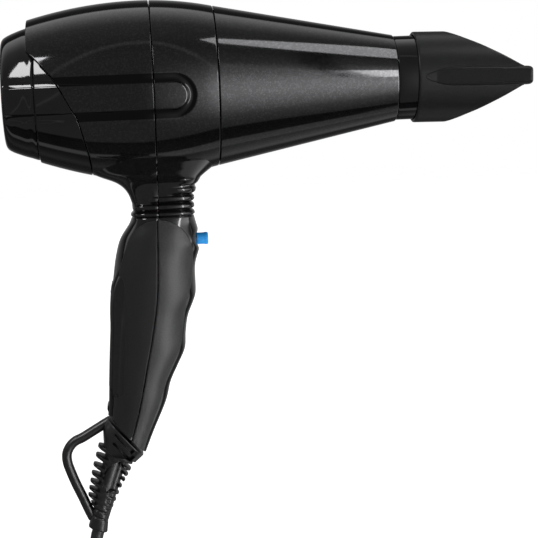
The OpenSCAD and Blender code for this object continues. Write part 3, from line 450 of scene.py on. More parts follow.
def skinRadius(x):  # a parabola either side of the fattest place, then a straight cone
    b = barrel
    rear = b["fattest"] - (b["fattest"] - b["rearRadius"]) * ((b["crown"] - x) / (b["crown"]
                                                                                  - b["rear"])) ** 2
    front = b["fattest"] - (b["fattest"] - b["coneWide"]) * ((x - b["crown"]) / (b["coneStart"]
                                                                                 - b["crown"])) ** 2
    cone = b["coneWide"] + (b["coneNarrow"] - b["coneWide"]) * (x - b["coneStart"]) / (b["coneEnd"]
                                                                                       - b["coneStart"])
    return np.where(x < b["crown"], rear, np.where(x < b["coneStart"], front, cone))


def channel(x, z):
    # depth of the moulded loop on the flank: half a sine across its width, measured in from its outline
    b = barrel
    inside = b["channelHalf"] - np.hypot(np.maximum(x - b["channelEnd"], 0), z - b["channelHeight"])
    t = np.clip(inside / b["channelWidth"], 0, 1)
    return b["channelDepth"] * np.sin(math.pi * t) ** 0.7


def flankAngles(count):  # angles round the axis, closer together at the height of the moulded loop
    a = roundAngles(count)
    return a - 0.32 * np.sin(2 * a)


def seamAt(height):  # where the sweeping seam lies at a height above the axis
    sweep = smoothCurve(barrel["sweep"], 6)[::-1]
    return np.interp(height, sweep[:, 1], sweep[:, 0])


def shellRings(start, end, radius, angles, steps, drop=None):
    # at each angle a closed section: along the skin with its two edges rounded over, and back along the
    # inside
    rounding, length = barrel["edgeRound"], end - start
    edge = np.array([0, 0.05, 0.14, 0.26, 0.4])
    t = np.linspace(0, 1, steps)
    out = np.concatenate([np.broadcast_to(edge, (len(length), 5)), 0.6 + (length[:, None] - 1.2) * t,
                          length[:, None] - edge[::-1]], 1)
    near = np.minimum(np.minimum(out, length[:, None] - out), rounding)
    fall = rounding - np.sqrt(np.maximum(rounding**2 - (rounding - near) ** 2, 0))
    back = length[:, None] * np.linspace(1, 0, 10)
    x = start[:, None] + np.concatenate([out, back], 1)
    inward = np.concatenate([fall, np.full((len(length), 10), barrel["wall"])], 1)
    a = angles[:, None]
    r = radius(x) - inward - (0 if drop is None else drop(x, radius(x) * np.sin(a)))
    z = barrel["axis"] + r * np.sin(a)
    r = r - channel(x, z) * (np.abs(r * np.cos(a)) > 20)
    return np.stack([x, r * np.cos(a), barrel["axis"] + r * np.sin(a)], -1)


def turnedRings(profile, around=192):  # a profile of (x, radius) carried round the barrel's axis
    p = np.asarray(profile, float)
    a = roundAngles(around)[:, None]
    x = np.broadcast_to(p[:, 0], (around, len(p)))
    return np.stack([x, p[:, 1] * np.cos(a), barrel["axis"] + p[:, 1] * np.sin(a)], -1)


flank = flankAngles(barrel["around"])
halfGap = barrel["gap"] / 2


def rearStart(angles):  # the rear edge of the top shell at each angle, found by repeated substitution
    x = np.full(len(angles), -45.0)
    for _ in range(12):
        x = np.clip(seamAt(skinRadius(x) * np.sin(angles)), barrel["rear"], -26)
    return x


shellStart = rearStart(flank)


def channelMask(tree, at):  # 1 inside the moulded loop, from the same outline as its shape
    b = barrel
    split = addNode(tree, "ShaderNodeSeparateXYZ", links={"Vector": at}).outputs
    ahead = maths(tree, "MAXIMUM", maths(tree, "SUBTRACT", split["X"], b["channelEnd"] * mm), 0.0)
    height = maths(tree, "SUBTRACT", split["Z"], b["channelHeight"] * mm)
    pair = addNode(tree, "ShaderNodeCombineXYZ", links={"X": ahead, "Y": height})
    away = addNode(tree, "ShaderNodeVectorMath", {"operation": "LENGTH"}, {0: pair.outputs["Vector"]})
    middle, reach, soft = b["channelHalf"] - b["channelWidth"] / 2, b["channelWidth"] / 2, b["channelSoft"]
    size = maths(tree, "ABSOLUTE", maths(tree, "SUBTRACT", away.outputs["Value"], middle * mm))
    edge = {"From Min": (reach - soft) * mm, "From Max": (reach + soft) * mm, "To Min": 1.0, "To Max": 0.0}
    return addNode(tree, "ShaderNodeMapRange", edge, {"Value": size}).outputs["Result"]


# Metallic lacquer: dark base full of aluminium flakes under a clear coat, a soft sheen with a hard gloss
# over it
flakePaint = {"flake": 0.0007, "base": "#29292a", "light": "#3a3a3c", "loop": "#060607", "coat": 0.25}


def makeLacquer(name, loop):
    s = flakePaint
    material, tree, shader, at = newMaterial(name,
                                             {"Metallic": 0.9, "Coat Weight": s["coat"],
                                              "Coat Roughness": 0.03, "Coat IOR": 1.5, "IOR": 1.5})
    # flakes drawn coarser than real
    cells = addNode(tree, "ShaderNodeTexVoronoi", {"Scale": 1 / s["flake"]}, {"Vector": at})
    bright = addNode(tree, "ShaderNodeMapRange",
                     {"From Min": 0.5, "From Max": 1.0, "To Min": 0.0, "To Max": 1.0},
                     {"Value": cells.outputs["Color"]})
    speck = addNode(tree, "ShaderNodeMix", {"data_type": "RGBA", 6: linear(s["base"]), 7: linear(s["light"])},
                    {0: bright.outputs["Result"]})
    cloud = addNode(tree, "ShaderNodeTexNoise", {"Scale": 260.0, "Detail": 4.0}, {"Vector": at})
    rough = addNode(tree, "ShaderNodeMapRange", {"To Min": 0.05, "To Max": 0.11},
                    {"Value": cloud.outputs["Fac"]})
    tree.links.new(rough.outputs["Result"], shader.inputs["Roughness"])
    paint = speck
    if loop:
        paint = addNode(tree, "ShaderNodeMix", {"data_type": "RGBA", 7: linear(s["loop"])},
                        {0: channelMask(tree, at), 6: speck.outputs[2]})
    tree.links.new(paint.outputs[2], shader.inputs["Base Color"])
    return material


lacquerLoop = makeLacquer("metallicLacquerWithLoop", True)
lacquer = makeLacquer("metallicLacquer", False)
# ABS from a polished mould: black, mirror smooth, very slightly wavy
glossBlack = grainMaterial("polishedBlackAbs", {"IOR": 1.48}, ("#030304", "#060607"), 55, (0.04, 0.09), 0.04,
                           2.0, 0.0003)

rearEnd = np.full(len(flank), barrel["split"] - halfGap)
rearRings = shellRings(shellStart + halfGap, rearEnd, skinRadius, flank, barrel["along"])
rearShell = loft("rearShell", rearRings, closed=True)
finishPiece(rearShell, lacquerLoop, "root", ("rear_housing",))
frontRear, frontEnd = (np.full(len(flank), x) for x in (barrel["split"] + halfGap,
                                                        barrel["coneStart"] - halfGap))
frontShell = loft("frontShell", shellRings(frontRear, frontEnd, skinRadius, flank, 64), closed=True)
finishPiece(frontShell, lacquerLoop, "root", ("front_housing",))
plain = roundAngles(barrel["coneAround"])
coneFront, coneRear = np.full(len(plain), barrel["coneEnd"]), np.full(len(plain),
                                                                      barrel["coneStart"] + halfGap)
coneShell = loft("coneShell", shellRings(coneRear, coneFront, skinRadius, plain, 60), closed=True)
finishPiece(coneShell, lacquer, "root", ("front_cone",))


def collarRadius(x):
    return skinRadius(x) - barrel["collarTaper"] * (barrel["collarFront"] - x)


def underShell(x, height):  # the top of the collar runs in under the top shell
    return 2.6 * ease((height - 17) / 1.2)


collarEnd = np.maximum(shellStart - halfGap, -49.0 - 3
                       * ease((skinRadius(shellStart) * np.sin(flank) - 12) / 8))
collarStart = np.full(len(flank), barrel["capFront"] + 0.5)
collar = loft("collar", shellRings(collarStart, collarEnd, collarRadius, flank, 50, drop=underShell),
              closed=True)
finishPiece(collar, glossBlack, "root", ("rear_collar",))

cap = {
    "skin": [(-71.5, 27.3), (-71.35, 28.2), (-70.9, 29.1), (-70, 30.1), (-68, 31.3), (-65, 32.6),
             (-61.5, 33.9), (-58, 35), (-55.5, 35.9), (-54.25, 36.2)],
    "inside": [(-54.05, 36.05), (-54, 35.8), (-54, 33.5), (-47, 33.5), (-47, 31.9), (-57, 31.9), (-62.5, 31),
               (-66.5, 29), (-69, 27.6), (-69, 25.2), (-71.2, 25.2), (-71.5, 25.5)],
}


def capRings(c):  # its profile carried round the axis, with the same moulded loop running on across it
    profile = np.vstack([smoothCurve(c["skin"], 6), c["inside"]])
    a = flank[:, None]
    x = np.broadcast_to(profile[:, 0], (len(flank), len(profile)))
    r = np.broadcast_to(profile[:, 1], x.shape)
    skin = np.arange(len(profile))[None, :] < len(profile) - len(c["inside"])
    fade = ease((x + 71.2) / 1.5) * skin
    r = r - channel(x, barrel["axis"] + r * np.sin(a)) * fade * (np.abs(r * np.cos(a)) > 15)
    return np.stack([x, r * np.cos(a), barrel["axis"] + r * np.sin(a)], -1)


finishPiece(loft("filterCap", capRings(cap), closed=True), glossBlack, "rear_cap", ("rear_cap",))

band = [(132.7, 21.3), (140.9, 21.3), (140.9, 22.5), (141.3, 22.8), (142, 22.9), (154.7, 22.9), (154.7, 22),
        (156.9, 22), (156.9, 22.9), (159.3, 22.9), (159.8, 22.6), (160, 22.1), (160, 20.8), (159.8, 20.6),
        (141, 20.6), (140.9, 20.2), (132.7, 20.2)]
finishPiece(loft("outletBand", turnedRings(band), closed=True), glossBlack, "root", ("outlet_band",))
print("barrel: shells, collar, cap, cone and band are in place")

# ---- grip: skin of the two halves, soft panels, button ----

grip = {
    "front": [(46.5, 92.3), (36, 85), (31, 80.7), (28.6, 76.3), (27.4, 71.3), (27.4, 64), (29.4, 55),
              (31.8, 47), (29.4, 41), (27.2, 33), (27, 20), (25.6, 14.5), (22, 6), (20.4, -3), (19.5, -12),
              (15.2, -21), (10.8, -30), (7.6, -41), (0.2, -57), (-4.8, -68.6), (-10, -80)],
    "back": [(-34, 94), (-26, 86.1), (-14, 80.9), (-8.6, 76.3), (-6, 70.3), (-5.3, 65), (-7.4, 58.5),
             (-13, 50), (-15.8, 41), (-17.6, 31), (-19.6, 17), (-20.5, 1), (-22, -18), (-23.2, -38),
             (-24.2, -47.2), (-25.6, -62), (-26.4, -74)],
    "half": [(32, 95.3), (25, 87.3), (18.5, 80.3), (15.5, 73.3), (15, 66), (16.5, 58), (18.2, 48), (18.5, 20),
             (17.5, 0), (16.3, -30), (14.8, -50), (13.4, -76)],
    "square": [(2.1, 97), (2.5, 88), (3.3, 80), (3.8, 72), (3.4, 64), (2.6, 57), (2.3, 46), (2.3, 20),
               (2.3, -30), (2.4, -76)],
    "parting": [(8.5, 99), (8.5, 64), (7.6, 58), (5.9, 22.5), (2.7, 1), (-2.1, -21), (-7, -42.7), (-14, -66),
                (-18, -80)],
    "foot": -59.4, "footSlope": -1.103, "levelAbove": -20.0, "top": 97.0, "wall": 2.4, "gap": 0.3,
    "ribs": [80.2, 75.4, 71.1, 67.0, 63.2], "ribHeights": [0.6, 1.1, 1.1, 1.1, 0.9],
    "ribStarts": [19, 14, 2, -7, -14], "ribWidths": [1.5, 1.6, 1.5, 1.4, 1.1],
    "scoop": {"height": 48.0, "deep": 3.1, "radius": 4.3, "wide": 2.4},
    "cheeks": {"low": -38.0, "high": 34.0, "well": 7.2, "proud": 2.3},
    "panelFront": [(7.2, 60.1), (12.5, 59.6), (17, 57.8), (21.2, 54.4), (24.2, 50), (25.9, 44), (26, 38),
                   (24.6, 26), (21.6, 15), (18.6, 0), (16.6, -11), (9.4, -26), (4.2, -40), (-3.2, -59),
                   (-7, -70)],
    "panelBack": [(7.2, 60.1), (0, 58.6), (-6.6, 53), (-12, 41), (-16, 25), (-18.4, 2), (-19.8, -20),
                  (-20.9, -36), (-21.6, -44), (-22.8, -58)],
    "panelProud": 0.45, "panelDeep": 1.6, "panelRound": 1.1,
}
gripFront, gripBack, gripHalf, gripSquare = (table(grip[k]) for k in ("front", "back", "half", "square"))
partingLine = table(grip["parting"])


def gripSection(z):  # middle, half depth, half width and squareness of the section at a height
    front, back = gripFront(z), gripBack(z)
    return (front + back) / 2, (front - back) / 2, gripHalf(z), gripSquare(z)


def gripPoint(z, angle, out):  # a superellipse: x and y are signed powers of the cosine and sine
    middle, deep, half, square = gripSection(z)
    c, s = np.cos(angle), np.sin(angle)
    x = middle + (deep + out) * signedPower(c, 2 / square)
    y = (half + out) * signedPower(s, 2 / square)
    return x, y


def gripAngle(x, z):  # the angle at which the section reaches x
    middle, deep, _, square = gripSection(z)
    t = np.clip((x - middle) / deep, -1, 1)
    return np.arccos(signedPower(t, square / 2))


def tiltedPoint(level, angle, out):
    # the section is level up the grip and turns into the slanted foot at its lower end
    slope = grip["footSlope"] * ease((grip["levelAbove"] - level) / (grip["levelAbove"] - grip["foot"]))
    centre = gripSection(level)[0]
    z = level + 0 * angle
    for _ in range(10):
        x, y = gripPoint(z, angle, out)
        z = level + slope * (x - centre)
    return np.stack([x, y, z], -1)


def neckRibs(x, z):
    # rounded rings round the front of the neck with narrow grooves between; each starts at its own place
    total = 0
    for height, size, start, width in zip(grip["ribs"], grip["ribHeights"], grip["ribStarts"],
                                          grip["ribWidths"]):
        reach = ease((x - start) / 5)
        total = total + size * (np.exp(-(((z - height) / width) ** 4)) - 0.55
                                * np.exp(-(((z - height + 1.25 * width) / 0.45) ** 2))) * reach
    return total


def buttonScoop(x, y, z):  # a round hollow in the skin that clears the button
    s = grip["scoop"]
    away = np.hypot(y / s["wide"], z - s["height"])
    return -s["deep"] * np.exp(-((away / s["radius"]) ** 4)) * (x > 15)


def switchCheeks(x, y, z):  # raised cheeks either side of the rockers, about as high as the rockers' ends
    s = grip["cheeks"]
    along = ease((z - s["low"]) / 6) * ease((s["high"] - z) / 12)
    across = ease((np.abs(y) - s["well"]) / 0.8) * (1 - ease((np.abs(y) - s["well"] - 3) / 6))
    return s["proud"] * along * across * (x < gripSection(z)[0])


def halfRings(rear):
    # at each level a closed section: round the outside from parting line to parting line and back inside
    levels = np.concatenate([np.linspace(grip["foot"], 57, 110), np.linspace(57.4, 82, 74),
                             np.linspace(82.6, grip["top"], 22)])[:, None]
    side = -grip["gap"] if rear else grip["gap"]
    seam = gripAngle(partingLine(levels) + side, levels)
    t = np.linspace(0, 1, 120)[None, :]
    inner = np.linspace(1, 0, 24)[None, :]
    start = seam if rear else -seam
    sweep = 2 * math.pi - 2 * seam if rear else 2 * seam
    outAngle, inAngle = start + sweep * t, start + sweep * inner
    drop = np.where((t == 0) | (t == 1), -0.3, 0.0)
    flat = tiltedPoint(levels, outAngle, 0)
    relief = neckRibs(flat[..., 0], flat[..., 2]) + buttonScoop(flat[..., 0], flat[..., 1], flat[..., 2])
    relief = relief + (switchCheeks(flat[..., 0], flat[..., 1], flat[..., 2]) if rear else 0)
    outside = tiltedPoint(levels, outAngle, drop + relief)
    inside = tiltedPoint(levels, inAngle, -grip["wall"])
    return np.concatenate([outside, inside], 1)


def panelRings(outline, rear, sideSign):
    # from the parting line to the outline: a rounded sheet outside, and a closed back to it
    edge = smoothCurve(grip[outline], 10)[1:]
    z = edge[:, 1][:, None]
    zSeam = np.minimum(z, 60.0)
    seamX = partingLine(zSeam) + (-grip["gap"] if rear else grip["gap"])
    farAngle, nearAngle = gripAngle(edge[:, :1], z), gripAngle(seamX, z)
    # about the sheet's width in mm
    span = (gripSection(z)[1] + gripSection(z)[2]) / 2 * np.abs(farAngle - nearAngle)
    t = np.linspace(0, 1, 64)[None, :]
    near = np.minimum(t * span, (1 - t) * span)
    r = np.minimum(grip["panelRound"], span * 0.45)
    fall = r - np.sqrt(np.maximum(r**2 - (r - np.minimum(near, r)) ** 2, 0))
    seamFall = 0.35 - np.sqrt(np.maximum(0.35**2 - (0.35 - np.minimum(t * span, 0.35)) ** 2, 0))
    fall = np.where(t < 0.5, seamFall, fall)
    out = grip["panelProud"] - fall
    angle = nearAngle + (farAngle - nearAngle) * t
    heights = z + 0 * angle
    x, y = gripPoint(heights, angle, out)
    back = np.linspace(1, 0, 12)[None, :]
    backAngle = nearAngle + (farAngle - nearAngle) * back
    bx, by = gripPoint(z + 0 * backAngle, backAngle, -grip["panelDeep"])
    outside, inside = np.stack([x, y, heights], -1), np.stack([bx, by, z + 0 * backAngle], -1)
    rings = np.concatenate([outside, inside], 1)
    footZ = -47.2 + grip["footSlope"] * (rings[..., 0] + 24.2)
    rings[..., 2] = np.maximum(rings[..., 2], footZ + 0.15)
    rings[..., 1] *= sideSign
    return rings


# Soft-touch lacquer over ABS: sandy grain drawn coarser than real (about 0.8 mm), dull, with a faint sheen;
# one material in two copies: the front pair is painted paler with more sheen as painted light, the rear pair
# darker as painted shade
softPaintedLit = grainMaterial("softTouchPaintedLit", {"IOR": 1.46, "Sheen Weight": 0.08, "Sheen Roughness": 0.5,
                                             "Specular IOR Level": 0.42},
                          ("#151516", "#262627"), 1300, (0.35, 0.46), 0.5)
# the rear copy: the same soft-touch painted darker and duller, as painted shade
softPaintedShade = grainMaterial("softTouchPaintedShade", {"IOR": 1.46, "Sheen Weight": 0.04, "Sheen Roughness": 0.5,
                                           "Specular IOR Level": 0.25},
                         ("#0b0b0c", "#121213"), 1500, (0.5, 0.62), 0.3)
# Polished ABS of the grip, its ring and the rockers: black with a crisp gloss
satinBlack = grainMaterial("polishedBlackGrip", {"IOR": 1.5}, ("#070708", "#0c0c0d"), 500, (0.07, 0.12), 0.03)

finishPiece(loft("gripRearHalf", halfRings(True)), satinBlack, "root", ("rear_housing",),
            50)
finishPiece(loft("gripFrontHalf", halfRings(False)), satinBlack, "root", ("front_housing",),
            50)
for sideSign, sideName in ((1, "left"), (-1, "right")):
    cadSide = "right" if sideSign > 0 else "left"  # the CAD nodes name the two sides the other way round
    finishPiece(loft("softPanelFront." + sideName, panelRings("panelFront", False, sideSign)), softPaintedLit,
                "root", ("grip_front_" + cadSide,), 50)
    finishPiece(loft("softPanelRear." + sideName, panelRings("panelBack", True, sideSign)), softPaintedShade, "root",
                ("grip_rear_" + cadSide,), 50)


def crosswise(profile, height, around=64):
    # a profile of (x, radius) carried round an axis along X at a height
    p = np.asarray(profile, float)
    a = roundAngles(around)[None, :]
    return np.stack([np.broadcast_to(p[:, :1], (len(p), around)), p[:, 1:] * np.cos(a),
                     height + p[:, 1:] * np.sin(a)], -1)


# Self-coloured ABS: clear bright blue with a soft gloss
buttonBlue = grainMaterial("blueAbs", {"IOR": 1.5, "Coat Weight": 0.2, "Coat Roughness": 0.15},
                           ("#1c9df2", "#2aaaff"), 400, (0.22, 0.3), 0.05)
buttonProfile = [(17.8, 1.2), (22.6, 1.2), (22.6, 4.2), (23.4, 4.2), (23.6, 3.2), (26, 3.2), (30.2, 3.2),
                 (33, 3.25), (33.2, 3.4), (34.4, 3.4), (34.9, 3.2), (35.1, 2.8), (35.0, 2.2), (34.8, 1.2),
                 (34.75, 0.3)]
finishPiece(loft("coolShotCap", crosswise(smoothCurve(buttonProfile, 3), 48)), buttonBlue, "cool_shot_button",
            ("cool_shot_button",), 60)
ringProfile = [(25.8, 4.9), (28.4, 4.9), (28.8, 4.7), (28.9, 4.4), (28.9, 4.1), (28.8, 3.8), (28.5, 3.6),
               (25.8, 3.6)]
ringLoops = crosswise(ringProfile, 48).transpose(1, 0, 2)
finishPiece(loft("buttonRing", ringLoops, closed=True), satinBlack, "root", ("front_housing",),
            60)

rocker = {"half": 10.0, "wide": 5.5, "hollow": 0.6, "rib": 0.3, "pitch": 2.0, "endRound": 1.3, "corner": 0.2,
          "backs": ((2.5, 4.6), (10, 2.4)),
          "places": {"speed_rocker": (-20.0, 12.5), "heat_rocker": (-22.0, -22.0)}}


def rockerRings(r, front, height):
    # squarish rounded sections up the grip; the face is hollowed, with a wave of fine ribs across it
    z = np.linspace(-r["half"], r["half"], 201)[:, None]
    across = roundAngles(56)[None, :]
    hollow = r["hollow"] * (1 - (z / r["half"]) ** 2)
    ribs = r["rib"] * np.sin(math.pi * z / r["pitch"]) ** 2 * (np.abs(z) < 8)
    face = front + hollow + ribs + r["endRound"] * np.clip((np.abs(z) - r["half"] + 1.2) / 1.2, 0, 1) ** 2
    back = front + np.interp(np.abs(z), *zip(*r["backs"]))
    x = (face + back) / 2 + (back - face) / 2 * signedPower(np.cos(across), r["corner"])
    y = r["wide"] * signedPower(np.sin(across), r["corner"]) + 0 * z
    return np.stack([x, y, height + z + 0 * x], -1)


for rockerNode, (rockerFront, rockerHeight) in rocker["places"].items():
    rockerPiece = loft(rockerNode.replace("_rocker", "Rocker"),
                       rockerRings(rocker, rockerFront, rockerHeight))
    finishPiece(rockerPiece, satinBlack, rockerNode, (rockerNode,), 50)
print("grip: halves, panels, button and rockers are in place")

# ---- nozzle: a round collar that two wedge faces cut down to a flat slot, and the fishtail round it ----

nozzle = {
    "rim": 151.5, "end": 212.0, "collar": 24.8, "wall": 1.6, "bodyEnd": 208.6, "sharpness": 5.0,
    "heights": [(25.6, 151), (25.6, 166), (25.2, 168.6), (24.3, 170.6), (22.4, 175), (20.4, 179.3),
                (18.5, 183.6), (16.4, 188), (14.1, 192.4), (11.7, 197), (9.1, 201.6), (6.9, 205.4),
                (5.3, 208.4), (5.1, 211)],
    "tailStart": 155.0, "tailFull": 170.0, "tailHalf": 5.1, "tailRoot": 24.95, "mouth": 32.0,
    "droop": 1.4, "pivot": (155.75, 131.0),
}


def softMin(a, b, sharp):  # close to the smaller of the two, rounded where they cross
    return -np.logaddexp(-sharp * a, -sharp * b) / sharp


def nozzleBody(n):
    # at each x a circle whose top and bottom are cut by the wedge faces; the skin, then back along the inside
    heightAt = table(n["heights"])
    edge = np.array([0, 0.1, 0.3, 0.6, 1.0, 1.6, 2.4])
    x = np.concatenate([n["rim"] + edge, np.linspace(n["rim"] + 3.4, n["bodyEnd"], 80)])
    rounded = np.interp(x - n["rim"], [0, 0.1, 0.3, 0.6, 1.0, 1.6], [0.75, 0.4, 0.16, 0.04, 0.0, 0.0])
    inside = x[::-1]
    xs = np.concatenate([x, inside])
    inset = np.concatenate([rounded, np.where(inside < 160.3, n["wall"] - 0.2, n["wall"])])
    a = roundAngles(200)[:, None]
    radius = n["collar"] - inset
    half = heightAt(xs) - inset
    z = radius * np.sin(a)
    z = np.sign(z) * np.maximum(softMin(np.abs(z), half + 0 * a, n["sharpness"]), 0)
    return np.stack([xs + 0 * a, radius * np.cos(a), barrel["axis"] + z], -1)


def nozzleTail(n):
    # at each x a rounded flat section; it opens out of the collar as half an ellipse and widens to the mouth
    lens = n["tailStart"] + (n["tailFull"] - n["tailStart"]) * (1 - np.cos(np.linspace(0.03, math.pi / 2,
                                                                                       34)))
    x = np.concatenate([lens, np.linspace(171, 210, 40), n["end"] - np.array([1.2, 0.8, 0.45, 0.2, 0.06, 0])])
    inner = np.concatenate([[n["end"] - 0.1], np.linspace(n["end"] - 0.6, 172, 40)])
    t = np.clip((n["tailFull"] - x) / (n["tailFull"] - n["tailStart"]), 0, 1)
    mouthRound = np.interp(n["end"] - x, [0, 0.06, 0.2, 0.45, 0.8, 1.2], [0.9, 0.62, 0.4, 0.2, 0.06, 0])
    high = n["tailHalf"] * np.sqrt(np.maximum(1 - t**2,
                                              0.0009)) * (1 + 0.05
                                                          * np.exp(-(((x - 171) / 9) ** 2))) - mouthRound
    wide = n["tailRoot"] + (n["mouth"] - n["tailRoot"]) * np.clip((x - n["tailStart"] - 6) / 50, 0,
                                                                  1) - mouthRound
    xs = np.concatenate([x, inner])
    highs = np.concatenate([high, np.full(len(inner), n["tailHalf"] - n["wall"])])
    wides = np.concatenate([wide, np.interp(inner, x, wide) - n["wall"]])
    a = roundAngles(160)[:, None]
    c, s = np.cos(a), np.sin(a)
    corner = (2 / np.where(wides > 30, 7, 9)) + 0 * a
    return np.stack([xs + 0 * a, wides * signedPower(c, corner),
                     barrel["axis"] + highs * signedPower(s, corner)], -1)


def drooped(rings, n):  # a push-on nozzle sags a little in its play: turned about the middle of its seat
    turn = math.radians(n["droop"])
    x, z = rings[..., 0] - n["pivot"][0], rings[..., 2] - n["pivot"][1]
    return np.stack([n["pivot"][0] + x * math.cos(turn) + z * math.sin(turn), rings[..., 1],
                     n["pivot"][1] + z * math.cos(turn) - x * math.sin(turn)], -1)


# Nylon from a spark-eroded mould: dark, satin, evenly fine-grained
nozzleSatin = grainMaterial("sparkErodedNylon", {"IOR": 1.53, "Specular IOR Level": 0.25},
                            ("#0c0c0d", "#131314"), 1100, (0.3, 0.4), 0.25)
tail = loft("tail", drooped(nozzleTail(nozzle), nozzle))
body = loft("body", drooped(nozzleBody(nozzle), nozzle), closed=True)
finishPiece(joined("slotNozzle", [body, tail]), nozzleSatin, "nozzle", ("nozzle",), 40)
print("nozzle: in place")

# ---- bend guard: a slotted collar, and a finned sleeve with an almond window over its round core ----

guard = {
    "top": (-16.6, -66.0), "lean": 20.0, "tilt": 0.2, "start": -3.0, "end": 48.6,
    "finsBack": [5.2, 10.4, 15.8, 20.6, 24.9, 28.9, 32.8, 36.4],
    "finsFront": [5.0, 8.9, 12.4, 15.9, 19.9, 24.1, 28.3, 32.3, 35.8],
    "finThick": [(0, 1.35), (20, 1.1), (40, 0.9)],
    "centre": [(-3, -2.6), (20, -3.2), (32, -2.8), (40, -1.6), (48.6, -0.4)],
    "coreBack": [(-3, 8.5), (4, 6.6), (18, 5.6), (28, 4.6), (36, 4.5), (48.6, 5.6)],
    "coreFront": [(-3, 9), (4, 6.8), (16, 5.8), (28, 4.2), (36, 4.4), (48.6, 5.4)],
    "tipBack": [(-3, 11.6), (4, 11.6), (16, 10.7), (33, 8.8), (38, 5.2), (48.6, 5.6)],
    "tipFront": [(-3, 9), (3, 9.4), (8, 10), (18, 8.5), (32, 6.6), (38, 5), (48.6, 5.4)],
    "side": [(-3, 10.5), (6, 8.6), (20, 7.4), (34, 6.3), (48.6, 5.7)],
    "window": {"middle": 16.2, "half": 9.9, "wide": 5.5, "place": (0.2, -0.133, 7.2), "core": 5.3,
               "coreAt": -3.6},
    "grooves": [37.6, 41.4], "cordHole": 3.6,
}
along, across = (np.array([-math.sin(math.radians(guard["lean"])), 0,
                           -math.cos(math.radians(guard["lean"]))]),
                 np.array([math.cos(math.radians(guard["lean"])), 0, -math.sin(math.radians(guard["lean"]))]))


def finWave(s, places, thick):  # 1 on a fin and 0 between, with steep rounded flanks
    return np.clip(sum(np.exp(-(((s - place) / thick) ** 8)) for place in places), 0, 1)


def guardSleeve(g):
    # at each place down the sleeve a rounded section, wider where there is a fin, with the window let into
    # both sides
    s = np.concatenate([np.linspace(g["start"], 38, 250), np.linspace(38.2, g["end"] - 1, 44),
                        g["end"] - np.array([0.6, 0.3, 0.12, 0.03, 0])])[:, None]
    a = roundAngles(180)[None, :]
    at = {key: np.interp(s, *np.array(g[key], float).T) for key in ("finThick", "centre", "coreBack",
                                                                    "coreFront", "tipBack", "tipFront",
                                                                    "side")}
    back = at["coreBack"] + (at["tipBack"] - at["coreBack"]) * finWave(s, g["finsBack"], at["finThick"])
    front = at["coreFront"] + (at["tipFront"] - at["coreFront"]) * finWave(s, g["finsFront"],
                                                                           at["finThick"] * 0.8)
    end = np.interp(g["end"] - s, [0, 0.03, 0.12, 0.3, 0.6], [0.6, 0.42, 0.25, 0.1, 0])
    groove = 0.5 * sum(np.exp(-(((s - place) / 0.6) ** 4)) for place in g["grooves"])
    c, d = np.cos(a), np.sin(a)
    u = at["centre"] + (np.where(c > 0, front, back) - end - groove) * signedPower(c, 0.8)
    half = (at["side"] - end - groove) * np.abs(d) ** 0.8
    w = g["window"]
    shift, slope, first = w["place"]
    reach = w["wide"] * (1 - ((s - w["middle"]) / w["half"]) ** 2)
    inWindow = ease((reach - np.abs(u - shift - slope * (s - first))) / 0.5
                    + 0.5) * (np.abs(s - w["middle"]) < w["half"])
    core = np.sqrt(np.maximum(w["core"] ** 2 - (u - w["coreAt"]) ** 2, 0.5))
    y = np.sign(d) * (half + (np.minimum(core, half) - half) * inWindow)
    run = s + g["tilt"] * (u - at["centre"]) * np.clip((44 - s) / 8, 0, 1)
    start = np.array([g["top"][0], 0, g["top"][1]])
    rings = start + run[..., None] * along + u[..., None] * across
    rings[..., 1] = y
    hole = rings[-1:] * 0 + (start + g["end"] * along)
    around = g["cordHole"] * (c[..., None] * across + d[..., None] * np.array([0, 1.0, 0]))
    return np.concatenate([rings, hole + around, hole + around - 5 * along], 0)


guardCollar = {
    "back": (-25.0, -48.2), "along": (0.652, -0.758), "down": (-0.758, -0.652),
    "low": [(0, 0.6), (4, 1.4), (7, 3.6), (10, 7), (12.5, 10)],
    "high": [(0, 29.0), (6.4, 29.0), (8, 26), (12.5, 19.5)],
    "half": [(0, 13.6), (6, 12.6), (12.5, 9.6)], "slotHigh": ((8.6, 2.5), (22.8, 2.4), 0.4, 1.2),
    "slotLow": ((11.4, 6.6), (25.6, 5.7), 0.4, 2.0),
    "slotDeep": 2.6,
}


def taperedSlot(t, q, slot):  # 1 inside a straight slot that widens from its first end to its second
    (t0, q0), (t1, q1), narrow, wide = slot
    share = np.clip((t - t0) / (t1 - t0), 0, 1)
    half = narrow + (wide - narrow) * share
    away = np.abs(q - (q0 + (q1 - q0) * share))
    return ease((half - away) / 0.3 + 0.5) * ((t > t0) & (t < t1))


def collarRings(g):
    # parallel to the slanted foot: rounded sections that shrink downwards, with two slots let into each side
    q = np.concatenate([[0, 0.05, 0.2, 0.5], np.linspace(0.8, 12.3, 90), [12.45, 12.5]])[:, None]
    a = roundAngles(240)[None, :]
    low, high, half = (np.interp(q, *np.array(g[key], float).T) for key in ("low", "high", "half"))
    shrink = np.interp(q, [0, 0.05, 0.2, 0.5, 12.3, 12.45, 12.5], [0.5, 0.3, 0.12, 0, 0, 0.3, 0.6])
    c, d = np.cos(a), np.sin(a)
    t = (low + high) / 2 + ((high - low) / 2 - shrink) * signedPower(c, 0.72)
    y = (half - shrink) * np.abs(d) ** 0.72
    slots = np.maximum(taperedSlot(t, q, g["slotHigh"]), taperedSlot(t, q, g["slotLow"]))
    y = np.sign(d) * np.maximum(y - g["slotDeep"] * slots, np.minimum(y, 1.0))
    x = g["back"][0] + t * g["along"][0] + q * g["down"][0]
    z = g["back"][1] + t * g["along"][1] + q * g["down"][1]
    return np.stack([x, y, z], -1)


finishPiece(joined("bendGuard", [loft("guardSleevePart", guardSleeve(guard)),
                                 loft("guardCollarPart", collarRings(guardCollar))]),
            mouldedRubber, "root", ("strain_relief",), 40)

# ---- hanging loop ----

